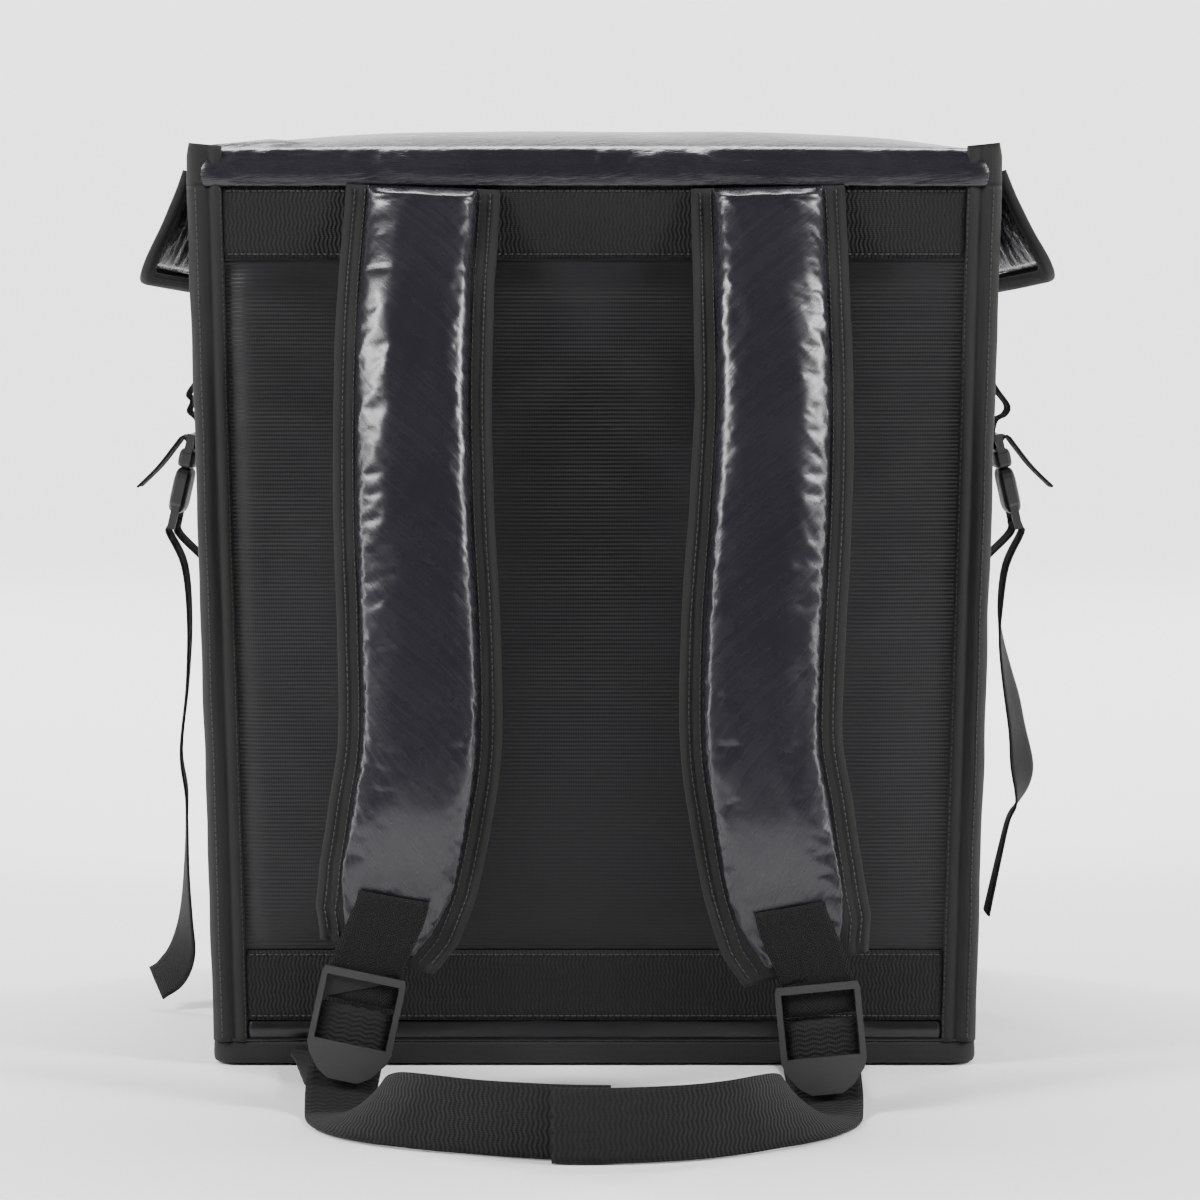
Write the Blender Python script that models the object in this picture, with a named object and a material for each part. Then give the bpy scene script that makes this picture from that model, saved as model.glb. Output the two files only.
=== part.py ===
"""Insulated delivery backpack, closed and standing on its base.

The worn side faces -Y, +X is to the right of a viewer who looks at that side,
+Z is up and the origin is the middle of the flat underside. All sizes are metres.
"""

import math
from typing import NamedTuple

import bmesh
import bpy
from mathutils import Vector

# Clearance between neighbouring pieces
GAP = 0.0003

# Padded box
BAG_HEIGHT = 0.475
TOP_WIDTH = 0.430
BOTTOM_WIDTH = 0.408
BAG_DEPTH = 0.320
WALL = 0.008
CORNER_RADIUS = 0.010
EDGE_RADIUS = 0.006
SIDE_BULGE = 0.010
FRONT_BULGE = 0.008
FLAT_RUN = 0.03
FLAT_BASE = 0.04

# Lid
GUSSET_HEIGHT = 0.0195
LID_DOME = 0.0145
LID_FULLNESS = 4
LID_WALL = 0.008
WING_HANG = 0.066
WING_THICKNESS = 0.005
WING_RISE = 0.008
WING_TOP = BAG_HEIGHT + WING_RISE
WING_DEPTH = 0.290
WING_FLARE_LEFT = math.radians(22)
WING_FLARE_RIGHT = math.radians(25)
WING_FLARE_FRONT = math.radians(10)
WING_CORNER = 0.024
WING_BINDING = 0.011
APRON_HANG = 0.066
APRON_WIDTH = 0.392
APRON_FLARE = math.radians(7)

# Bound edges and webbing bands on the back
TAPE_FACE = 0.0165
TAPE_SIDE = 0.014
TAPE_THICKNESS = 0.0026
TAPE_RIDGE = 0.0012
BASE_BINDING_HEIGHT = 0.013
BASE_BINDING_THICKNESS = 0.003
BAND_HEIGHT = 0.038
BAND_THICKNESS = 0.0016
BAND_INSET = 0.0010
UPPER_BAND_LOW = BAG_HEIGHT - BAND_INSET - BAND_HEIGHT
LOWER_BAND_LOW = 0.025

# Shoulder straps
STRAP_WIDTH = 0.082
STRAP_THICKNESS = 0.004
STRAP_BOW = 0.108
STRAP_SPREAD = 0.093
STRAP_INSET = 0.0015
STRAP_TOP = BAG_HEIGHT - STRAP_INSET
PAD_WIDTH = 0.058
PAD_THICKNESS = 0.009
PAD_END = 0.945

# Webbing and strap hardware
WEBBING_WIDTH = 0.0365
WEBBING_THICKNESS = 0.0016
FLOOR_GAP = 0.0008
LOCK_WIDTH = 0.0435
LOCK_LENGTH = 0.056
LOCK_RAIL = 0.0030
LOCK_FRONT = 0.0046
LOCK_BACK = -0.0030
LOCK_PLATE = 0.0021
LOCK_RIM = 0.0040
LOCK_TONGUE_FROM = 0.037
BAR_HEIGHT = 0.0040
BAR_THICKNESS = 0.0020
BAR_A = 0.0100
BAR_B = 0.0205

# Fastening straps on the two sides
SIDE_WEBBING_WIDTH = 0.025
SIDE_WEBBING_THICKNESS = 0.0014
SIDE_BUCKLE_WIDTH = 0.034
SIDE_BUCKLE_THICKNESS = 0.0095
SIDE_BUCKLE_LENGTH = 0.056
SIDE_BUCKLE_TOP = 0.7116 * BAG_HEIGHT
SIDE_BUCKLE_TILT = math.radians(13)
SIDE_BUCKLE_OUT = 0.0126

for old in list(bpy.data.objects):
    bpy.data.objects.remove(old, do_unlink=True)


def material(name, colour, roughness, metallic=0.0):
    """One plain material for a sub-part."""
    made = bpy.data.materials.new(name)
    made.use_nodes = True
    shader = made.node_tree.nodes["Principled BSDF"]
    shader.inputs["Base Color"].default_value = (*colour, 1.0)
    shader.inputs["Roughness"].default_value = roughness
    shader.inputs["Metallic"].default_value = metallic
    return made


SHELL = material("black_coated_cloth", (0.020, 0.020, 0.022), 0.45)
GLOSS = material("black_gloss_cloth", (0.018, 0.018, 0.021), 0.28)
TAPE = material("black_binding_tape", (0.013, 0.013, 0.014), 0.75)
WEBBING = material("black_webbing", (0.016, 0.016, 0.017), 0.85)
PLASTIC = material("black_plastic", (0.030, 0.030, 0.031), 0.50)


def add_object(name, mesh_data, paint):
    """Links one closed body with outward faces to the scene."""
    mesh = bpy.data.meshes.new(name)
    mesh_data.to_mesh(mesh)
    mesh_data.free()
    mesh.materials.append(paint)
    made = bpy.data.objects.new(name, mesh)
    bpy.context.scene.collection.objects.link(made)
    return made


def loft(rings, ring_closed_path=False):
    """Joins rings of as many points each; the two ends are capped."""
    data = bmesh.new()
    rows = [[data.verts.new(p) for p in ring] for ring in rings]
    pairs = list(zip(rows, rows[1:]))
    if ring_closed_path:
        pairs.append((rows[-1], rows[0]))
    for row, following in pairs:
        count = len(row)
        for i in range(count):
            j = (i + 1) % count
            data.faces.new((row[i], row[j], following[j], following[i]))
    if not ring_closed_path:
        data.faces.new(list(reversed(rows[0])))
        data.faces.new(rows[-1])
    bmesh.ops.recalc_face_normals(data, faces=data.faces)
    if data.calc_volume(signed=True) < 0:
        bmesh.ops.reverse_faces(data, faces=data.faces)
    return data


def smooth_curve(rows, steps):
    """Catmull-Rom samples through rows of numbers, steps per span."""
    found = []
    last = len(rows) - 1
    for i in range(last):
        a = rows[max(i - 1, 0)]
        b = rows[i]
        c = rows[i + 1]
        d = rows[min(i + 2, last)]
        for k in range(steps):
            t = k / steps
            found.append(
                [
                    0.5
                    * (
                        2 * q
                        + (r - p) * t
                        + (2 * p - 5 * q + 4 * r - s) * t * t
                        + (3 * q - p - 3 * r + s) * t**3
                    )
                    for p, q, r, s in zip(a, b, c, d)
                ]
            )
    found.append(list(rows[last]))
    return found


def frames(points, widthwise):
    """Width and normal directions square to the path at each point."""
    found = []
    last = len(points) - 1
    for i in range(last + 1):
        along = points[min(i + 1, last)] - points[max(i - 1, 0)]
        along.normalize()
        across = widthwise[i] - along * widthwise[i].dot(along)
        across.normalize()
        found.append((across, along.cross(across)))
    return found


def ribbon(points, widthwise, widths, thickness):
    """A flat band of the given widths swept along the points."""
    rings = []
    half = thickness / 2
    for p, w, (across, normal) in zip(points, widths, frames(points, widthwise)):
        side = across * w / 2
        lift = normal * half
        rings.append([p - side - lift, p + side - lift, p + side + lift, p - side + lift])
    return loft(rings)


WALL_LEVELS = [EDGE_RADIUS / BAG_HEIGHT, FLAT_BASE] + [k / 10 for k in range(1, 11)]
WALL_RUNS = (FLAT_RUN, 0.13, 0.27, 0.42, 0.58, 0.73, 0.87, 1 - FLAT_RUN)


def swelling(height_share):
    """How far the soft walls swell at a share of the height, from 0 to 1."""
    share = (height_share - FLAT_BASE) / (1 - FLAT_BASE)
    return max(math.sin(math.pi * min(max(share, 0.0), 1.0)), 0.0) ** 0.8


def box_outline(height_share, inset, with_bulge=True):
    """Points round the box at a share of its height, moved in by inset."""
    half_w = (BOTTOM_WIDTH + (TOP_WIDTH - BOTTOM_WIDTH) * height_share) / 2 - inset
    half_d = BAG_DEPTH / 2 - inset
    radius = max(CORNER_RADIUS - inset, 0.0015)
    swell = 0.0
    if with_bulge:
        swell = swelling(height_share)
    sides = (
        ((-1, -1), (1, -1), 0.0, (0, -1)),
        ((1, -1), (1, 1), SIDE_BULGE, (1, 0)),
        ((1, 1), (-1, 1), FRONT_BULGE, (0, 1)),
        ((-1, 1), (-1, -1), SIDE_BULGE, (-1, 0)),
    )
    found = []
    for start, end, bulge, out in sides:
        cx = start[0] * (half_w - radius)
        cy = start[1] * (half_d - radius)
        first = math.atan2(out[1], out[0]) - math.pi / 2
        for k in (1, 2, 3):
            turn = first + math.pi / 2 * k / 3
            found.append((cx + radius * math.cos(turn), cy + radius * math.sin(turn)))
        tx = end[0] * (half_w - radius)
        ty = end[1] * (half_d - radius)
        for t in WALL_RUNS:
            push = bulge * swell * math.sin(math.pi * (t - FLAT_RUN) / (1 - 2 * FLAT_RUN))
            found.append(
                (
                    cx + (tx - cx) * t + out[0] * (radius + push),
                    cy + (ty - cy) * t + out[1] * (radius + push),
                )
            )
        found.append((tx + out[0] * radius, ty + out[1] * radius))
    return found


def half_width(z):
    """Half of the box's width at a height, without its bulge."""
    return (BOTTOM_WIDTH + (TOP_WIDTH - BOTTOM_WIDTH) * z / BAG_HEIGHT) / 2


def side_wall(z):
    """How far the middle of a side wall stands from the centre at a height."""
    share = z / BAG_HEIGHT
    crest = math.sin(math.pi * (WALL_RUNS[3] - FLAT_RUN) / (1 - 2 * FLAT_RUN))
    for low, high in zip(WALL_LEVELS, WALL_LEVELS[1:]):
        if low <= share <= high:
            t = (share - low) / (high - low)
            swell = swelling(low) * (1 - t) + swelling(high) * t
            return half_width(z) + SIDE_BULGE * crest * swell
    return half_width(z)


def body_shell():
    """Hollow padded box with an open top."""
    rings = []
    for turn in (0, 30, 60):
        a = math.radians(turn)
        z = EDGE_RADIUS * (1 - math.cos(a))
        inset = EDGE_RADIUS * (1 - math.sin(a))
        ring = box_outline(0.0, inset, False)
        rings.append([Vector((x, y, z)) for x, y in ring])
    for share in WALL_LEVELS:
        z = share * BAG_HEIGHT
        rings.append([Vector((x, y, z)) for x, y in box_outline(share, 0.0)])
    for share in reversed(WALL_LEVELS[1:]):
        z = share * BAG_HEIGHT
        rings.append([Vector((x, y, z)) for x, y in box_outline(share, WALL)])
    rings.append([Vector((x, y, WALL)) for x, y in box_outline(0.0, 1.8 * WALL, False)])
    return loft(rings)


def lid_height(x, y):
    """Height of the lid's domed top."""
    across = 1 - min(abs(x) / (TOP_WIDTH / 2), 1) ** LID_FULLNESS
    along = 1 - min(abs(y) / (BAG_DEPTH / 2), 1) ** LID_FULLNESS
    return BAG_HEIGHT + GUSSET_HEIGHT + LID_DOME * across * along


def lid():
    """Padded top with its low upright gusset, open below."""
    rings = []
    low = BAG_HEIGHT + GAP
    for inset in (0.144, 0.100, 0.060, 0.030, 0.014):
        ring = box_outline(1.0, inset, False)
        rings.append([Vector((x, y, lid_height(x, y) - LID_WALL)) for x, y in ring])
    for z in (low + GUSSET_HEIGHT * 0.4, low):
        ring = box_outline(1.0, LID_WALL, False)
        rings.append([Vector((x, y, z)) for x, y in ring])
    for z, inset in ((low, 0.0), (low + GUSSET_HEIGHT * 0.5, 0.0)):
        ring = box_outline(1.0, inset, False)
        rings.append([Vector((x, y, z)) for x, y in ring])
    for inset, drop in (
        (0.0, 0.0035),
        (0.0012, 0.0012),
        (0.005, 0.0),
        (0.014, 0.0),
        (0.030, 0.0),
        (0.060, 0.0),
        (0.100, 0.0),
        (0.144, 0.0),
    ):
        ring = box_outline(1.0, inset, False)
        rings.append([Vector((x, y, lid_height(x, y) - drop)) for x, y in ring])
    return loft(rings)


def tape_profile():
    """Section of a two-ridged tape folded round a corner that lies at 0, 0."""
    r = CORNER_RADIUS
    outer = (
        (TAPE_FACE, -GAP - TAPE_THICKNESS * 0.55),
        (TAPE_FACE * 0.80, -GAP - TAPE_THICKNESS - TAPE_RIDGE * 0.6),
        (TAPE_FACE * 0.58, -GAP - TAPE_THICKNESS * 0.75),
        (TAPE_FACE * 0.30, -GAP - TAPE_THICKNESS - TAPE_RIDGE),
        (TAPE_FACE * 0.06, -GAP - TAPE_THICKNESS * 0.70),
        (-GAP - TAPE_THICKNESS * 0.75, TAPE_SIDE * 0.12),
        (-GAP - TAPE_THICKNESS, TAPE_SIDE * 0.45),
        (-GAP - TAPE_THICKNESS * 0.55, TAPE_SIDE),
    )
    inner = [(-GAP, TAPE_SIDE), (-GAP, r)]
    for turn in (30, 60):
        a = math.radians(turn)
        reach = r + GAP + 0.0002
        inner.append((r - reach * math.cos(a), r - reach * math.sin(a)))
    inner += [(r, -GAP), (TAPE_FACE, -GAP)]
    return list(outer) + inner


def corner_tape(side, face, low, high, crown):
    """Bound upright edge on one corner of the box or of the lid."""
    rings = []
    steps = 8 if high - low > 0.1 else 2
    levels = [low + (high - low) * k / steps for k in range(steps + 1)]
    shrink = [1.0] * len(levels)
    if crown:
        levels.append(high + crown)
        shrink.append(0.80)
    for z, size in zip(levels, shrink):
        corner_x = half_width(min(z, BAG_HEIGHT))
        ring = []
        for u, v in tape_profile():
            out_u = u if u > 0 else u * size
            out_v = v if v > -GAP - 0.0001 else -GAP + (v + GAP) * size
            ring.append(
                Vector((side * (corner_x - out_u), face * (BAG_DEPTH / 2 - out_v), z))
            )
        rings.append(ring)
    return loft(rings)


def base_binding(side, along_x):
    """Bound lower edge on one side of the box."""
    deep = BAG_DEPTH / 2
    far = BASE_BINDING_THICKNESS + GAP
    low = 0.0012
    top = BASE_BINDING_HEIGHT
    profile = (
        (GAP, low + 0.0035),
        (far * 0.55, low),
        (far, low + 0.0025),
        (far, top * 0.55),
        (far * 0.8, top),
        (GAP, top),
    )
    rings = []
    if along_x:
        for share, slim in ((-1.0, 0.5), (-0.985, 1.0), (0.985, 1.0), (1.0, 0.5)):
            rings.append(
                [
                    Vector(
                        (
                            share * (half_width(z) + far),
                            side * (deep + GAP + (out - GAP) * slim),
                            z,
                        )
                    )
                    for out, z in profile
                ]
            )
    else:
        for share in (-1.0, 0.0, 1.0):
            y = share * (deep - GAP)
            rings.append([Vector((side * (half_width(z) + out), y, z)) for out, z in profile])
    return loft(rings)


def back_band(low):
    """Webbing laid flat across the back between the bound edges."""
    rings = []
    near = -BAG_DEPTH / 2 - GAP
    far = near - BAND_THICKNESS
    for side in (-1, 1):
        ring = []
        for y, z in ((near, low), (far, low), (far, low + BAND_HEIGHT), (near, low + BAND_HEIGHT)):
            reach = half_width(z) - TAPE_FACE - GAP
            ring.append(Vector((side * reach, y, z)))
        rings.append(ring)
    return loft(rings)


class Hanging(NamedTuple):
    """A bound panel that hangs from the lid's edge."""

    seam: Vector
    along: Vector
    outward: Vector
    length: float
    hang: float
    flare_start: float
    flare_end: float

    def point(self, run, drop, lift=0.0):
        """A point of the panel run along the seam, drop below it, lift proud of it."""
        share = run / self.length
        flare = self.flare_start + (self.flare_end - self.flare_start) * share
        curve = flare * (0.85 + 0.3 * drop / self.hang)
        down = Vector((0, 0, -1)) * math.cos(curve) + self.outward * math.sin(curve)
        up = Vector((0, 0, 1)) * math.sin(curve) + self.outward * math.cos(curve)
        return self.seam + self.along * run + down * drop + up * lift


def rounded_u(length, hang, radius, margin):
    """Run and drop along a U whose lower corners are rounded, moved in by margin."""
    left = margin
    right = length - margin
    low = hang - margin
    r = max(radius - margin, 0.003)
    found = [(left, 0.0), (left, (low - r) * 0.5)]
    for k in range(6):
        a = math.radians(90 * k / 5)
        found.append((left + r - r * math.cos(a), low - r + r * math.sin(a)))
    for k in range(1, 8):
        found.append((left + r + (right - left - 2 * r) * k / 8, low))
    for k in range(6):
        a = math.radians(90 * k / 5)
        found.append((right - r + r * math.sin(a), low - r + r * math.cos(a)))
    found += [(right, (low - r) * 0.5), (right, 0.0)]
    return found


def hanging_panel(panel):
    """The padded part of a hanging panel, inside its binding."""
    u = rounded_u(panel.length, panel.hang, WING_CORNER, WING_BINDING + GAP)
    half = WING_THICKNESS / 2
    rings = []
    count = len(u)
    for i in range(8):
        run_a, drop_a = u[i]
        run_b, drop_b = u[count - 1 - i]
        ring = []
        for lift in (-half, half):
            line = []
            for k in range(9):
                t = k / 8
                line.append(
                    panel.point(run_a + (run_b - run_a) * t, drop_a + (drop_b - drop_a) * t, lift)
                )
            ring += line if lift < 0 else list(reversed(line))
        rings.append(ring)
    return loft(rings)


def hanging_binding(panel):
    """The tape round the free edges of a hanging panel."""
    inner = rounded_u(panel.length, panel.hang, WING_CORNER, WING_BINDING)
    outer = rounded_u(panel.length, panel.hang, WING_CORNER, 0.0)
    half = WING_THICKNESS / 2 + 0.0006
    rings = []
    for (run_a, drop_a), (run_b, drop_b) in zip(inner, outer):
        rings.append(
            [
                panel.point(run_a, drop_a, -half),
                panel.point(run_a, drop_a, half),
                panel.point(run_b, drop_b, half * 0.7),
                panel.point(run_b, drop_b, -half * 0.7),
            ]
        )
    return loft(rings)


def wing(side, flare):
    """Side panel of the lid, wider open at the back than at the front."""
    out = TOP_WIDTH / 2 + GAP + WING_THICKNESS / 2 + 0.0008
    return Hanging(
        Vector((side * out, -WING_DEPTH / 2, WING_TOP)),
        Vector((0, 1, 0)),
        Vector((side, 0, 0)),
        WING_DEPTH,
        WING_HANG,
        flare,
        WING_FLARE_FRONT,
    )


def apron():
    """Front panel of the lid."""
    out = BAG_DEPTH / 2 + GAP + WING_THICKNESS / 2 + 0.0008
    return Hanging(
        Vector((-APRON_WIDTH / 2, out, WING_TOP)),
        Vector((1, 0, 0)),
        Vector((0, 1, 0)),
        APRON_WIDTH,
        APRON_HANG,
        APRON_FLARE,
        APRON_FLARE,
    )


class StrapStation(NamedTuple):
    """One height of a shoulder strap, in shares of named sizes."""

    height: float  # of STRAP_TOP
    bow: float  # of STRAP_BOW
    centre: float  # of STRAP_SPREAD
    width: float  # of STRAP_WIDTH


STRAP_LEFT = (
    StrapStation(1.000, 0.043, -0.980, 1.00),
    StrapStation(0.975, 0.062, -0.985, 1.00),
    StrapStation(0.940, 0.160, -0.993, 1.00),
    StrapStation(0.870, 0.355, -1.008, 1.00),
    StrapStation(0.760, 0.556, -1.013, 1.00),
    StrapStation(0.640, 0.722, -0.998, 1.01),
    StrapStation(0.520, 0.852, -0.966, 1.02),
    StrapStation(0.400, 0.930, -0.956, 1.02),
    StrapStation(0.320, 0.962, -1.010, 1.02),
    StrapStation(0.250, 0.978, -1.075, 1.00),
    StrapStation(0.200, 0.985, -1.140, 0.92),
    StrapStation(0.166, 0.990, -1.195, 0.74),
)
STRAP_RIGHT = (
    StrapStation(1.000, 0.043, 0.992, 1.00),
    StrapStation(0.975, 0.062, 0.995, 1.00),
    StrapStation(0.940, 0.160, 0.998, 1.00),
    StrapStation(0.870, 0.355, 1.000, 1.00),
    StrapStation(0.760, 0.556, 1.003, 1.00),
    StrapStation(0.640, 0.722, 0.975, 1.02),
    StrapStation(0.520, 0.852, 0.933, 1.03),
    StrapStation(0.400, 0.930, 0.918, 1.01),
    StrapStation(0.320, 0.962, 0.975, 1.02),
    StrapStation(0.250, 0.990, 1.035, 1.01),
    StrapStation(0.190, 1.010, 1.110, 0.96),
    StrapStation(0.153, 1.025, 1.165, 0.80),
)


def strap_path(stations, steps=3):
    """Centre points and width shares down a shoulder strap."""
    rows = [
        (s.centre * STRAP_SPREAD, -BAG_DEPTH / 2 - s.bow * STRAP_BOW, s.height * STRAP_TOP, s.width)
        for s in stations
    ]
    sampled = smooth_curve(rows, steps)
    return [Vector(row[:3]) for row in sampled], [row[3] for row in sampled]


def strap_backing(stations):
    """Flat layer of a shoulder strap with its bound borders."""
    points, shares = strap_path(stations)
    widths = [STRAP_WIDTH * s for s in shares]
    return ribbon(points, [Vector((1, 0, 0))] * len(points), widths, STRAP_THICKNESS)


def outer_normal(normal):
    """The one of a surface's two normals that faces away from the bag."""
    return normal if normal.y < 0 else -normal


def puff_at(run):
    """Thickness of the pad at a share of the strap's stations."""
    close = min(run / 0.03, (PAD_END - run) / 0.14, 1.0)
    return PAD_THICKNESS * (0.35 + 0.65 * max(close, 0.0) ** 0.6)


def strap_pad(stations):
    """Puffed middle of a shoulder strap, lying on the backing."""
    points, shares = strap_path(stations)
    axes = frames(points, [Vector((1, 0, 0))] * len(points))
    rings = []
    count = len(points)
    for i, (p, share, (across, normal)) in enumerate(zip(points, shares, axes)):
        out = outer_normal(normal)
        run = i / (count - 1)
        if run > PAD_END:
            break
        puff = puff_at(run)
        base = p + out * (STRAP_THICKNESS / 2 + GAP)
        half = PAD_WIDTH * min(share, 1.02) / 2
        ring = []
        for u, h in (
            (-1.0, 0.0),
            (-1.0, 0.45),
            (-0.86, 0.84),
            (-0.5, 1.0),
            (0.0, 1.0),
            (0.5, 1.0),
            (0.86, 0.84),
            (1.0, 0.45),
            (1.0, 0.0),
        ):
            ring.append(base + across * u * half + out * h * puff)
        rings.append(ring)
    return loft(rings)


class Hardware(NamedTuple):
    """Where a buckle lies: its upper edge's middle, and its three directions."""

    top: Vector
    across: Vector
    down: Vector
    out: Vector

    def at(self, u, v, n):
        """A point u across, v down and n out of the buckle."""
        return self.top + self.across * u + self.down * v + self.out * n


def place(top, tip):
    """Hardware whose length runs from top to tip and whose face looks to -Y."""
    down = (tip - top).normalized()
    out = Vector((0, -1, 0))
    out = (out - down * out.dot(down)).normalized()
    return Hardware(top, down.cross(out), down, out)


def strap_point(height, bow, centre):
    """Point of a shoulder strap's line, from the shares of a strap station."""
    return Vector((centre * STRAP_SPREAD, -BAG_DEPTH / 2 - bow * STRAP_BOW, height * STRAP_TOP))


LOCK_LEFT = place(strap_point(0.1489, 1.0046, -1.2559), strap_point(0.0338, 1.0602, -1.3817))
LOCK_RIGHT = place(strap_point(0.1383, 1.0509, 1.2183), strap_point(0.0232, 1.1065, 1.2753))


def slab(lock, outline, low, high):
    """An outline in the buckle's plane, from one level out of it to another."""
    return loft([[lock.at(u, v, n) for u, v in outline] for n in (low, high)])


def rectangle(u0, u1, v0, v1):
    """Corners of a rectangle in a buckle's plane."""
    return ((u0, v0), (u1, v0), (u1, v1), (u0, v1))


def combined(parts, paint, name, cuts=()):
    """One body made of overlapping parts, less the cuts."""
    base = add_object(name, parts[0], paint)
    helpers = []
    for operation, pieces in (("UNION", parts[1:]), ("DIFFERENCE", cuts)):
        for piece in pieces:
            helper = add_object(name + "_helper", piece, paint)
            helper.hide_render = True
            helper.display_type = "WIRE"
            joined = base.modifiers.new("join", "BOOLEAN")
            joined.operation = operation
            joined.solver = "EXACT"
            joined.object = helper
            helpers.append(helper)
    bpy.context.view_layer.update()
    ready = base.evaluated_get(bpy.context.evaluated_depsgraph_get())
    mesh = bpy.data.meshes.new_from_object(ready)
    base.modifiers.clear()
    base.data = mesh
    for helper in helpers:
        bpy.data.objects.remove(helper, do_unlink=True)
    return base


def ladder_lock(lock, name):
    """Frame with two cross bars and a rounded tongue."""
    half = LOCK_WIDTH / 2
    length = LOCK_LENGTH
    right = [(0.95, 0.0), (1.0, 0.055), (1.0, 0.70), (0.92, 0.79), (0.64, 0.93), (0.36, 1.0)]
    outline = [(half * u, length * v) for u, v in right]
    outline += [(-u, v) for u, v in reversed(outline)]
    clear = half - LOCK_RAIL
    plate = slab(lock, outline, LOCK_FRONT - LOCK_PLATE, LOCK_FRONT)
    window = slab(
        lock,
        rectangle(-clear, clear, LOCK_RIM, LOCK_TONGUE_FROM),
        LOCK_FRONT - 2 * LOCK_PLATE,
        LOCK_FRONT + LOCK_PLATE,
    )
    parts = [plate]
    for side in (-1, 1):
        rail = rectangle(*sorted((side * clear, side * (half - 0.0002))), 0.0031, length * 0.60)
        parts.append(slab(lock, rail, LOCK_BACK, LOCK_FRONT - LOCK_PLATE / 2))
    for bar in (BAR_A, BAR_B):
        reach = half - LOCK_RAIL / 2
        outline = rectangle(-reach, reach, bar, bar + BAR_HEIGHT)
        parts.append(slab(lock, outline, LOCK_BACK + 0.0005, LOCK_BACK + 0.0005 + BAR_THICKNESS))
    return combined(parts, PLASTIC, name, (window,))


WEB_OUT = WEBBING_THICKNESS / 2 + GAP + 0.0005
BAR_LOW = LOCK_BACK + 0.0005
BAR_HIGH = BAR_LOW + BAR_THICKNESS


def strap_patch(stations, lock, lift, top_height):
    """Webbing from the pad's end over the upper bar of the buckle and back up."""
    points, shares = strap_path(stations)
    axes = frames(points, [Vector((1, 0, 0))] * len(points))
    path = []
    count = len(points)
    for i, (p, (across, normal)) in enumerate(zip(points, axes)):
        run = i / (count - 1)
        if p.z < top_height and run <= PAD_END:
            out = outer_normal(normal)
            path.append(p + out * (STRAP_THICKNESS / 2 + puff_at(run) + GAP + lift))
    front = BAR_HIGH + WEB_OUT
    back = BAR_LOW - WEB_OUT
    under = BAR_A + BAR_HEIGHT + WEB_OUT
    middle = (front + back) / 2
    for v, n in (
        (-0.005, front + 0.0010),
        (0.000, front - 0.0002),
        (BAR_A, front),
        (BAR_A + BAR_HEIGHT * 0.9, front),
        (under, middle + 0.0010),
        (under, middle - 0.0010),
        (BAR_A + BAR_HEIGHT * 0.9, back),
        (BAR_A, back),
        (0.001, back - 0.0006),
    ):
        path.append(lock.at(0.0, v, n))
    return path


class TailStation(NamedTuple):
    """One place of a webbing tail on the floor, in shares of named sizes."""

    centre: float  # of STRAP_SPREAD
    bow: float  # of STRAP_BOW, from the back panel
    stand: float  # of a quarter turn from flat to on edge


TAIL_LEFT = (
    TailStation(-1.382, 1.185, 0.00),
    TailStation(-1.355, 1.324, 0.10),
    TailStation(-1.281, 1.511, 0.35),
    TailStation(-1.128, 1.695, 0.65),
    TailStation(-0.915, 1.852, 0.88),
    TailStation(-0.592, 1.985, 1.00),
    TailStation(-0.213, 2.074, 1.00),
    TailStation(0.088, 2.098, 1.00),
)
TAIL_RIGHT = (
    TailStation(1.267, 1.230, 0.00),
    TailStation(1.230, 1.387, 0.15),
    TailStation(1.137, 1.582, 0.45),
    TailStation(0.989, 1.778, 0.75),
    TailStation(0.772, 1.961, 0.95),
    TailStation(0.485, 2.089, 1.00),
    TailStation(0.106, 2.154, 1.00),
    TailStation(-0.217, 2.154, 1.00),
)


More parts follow.
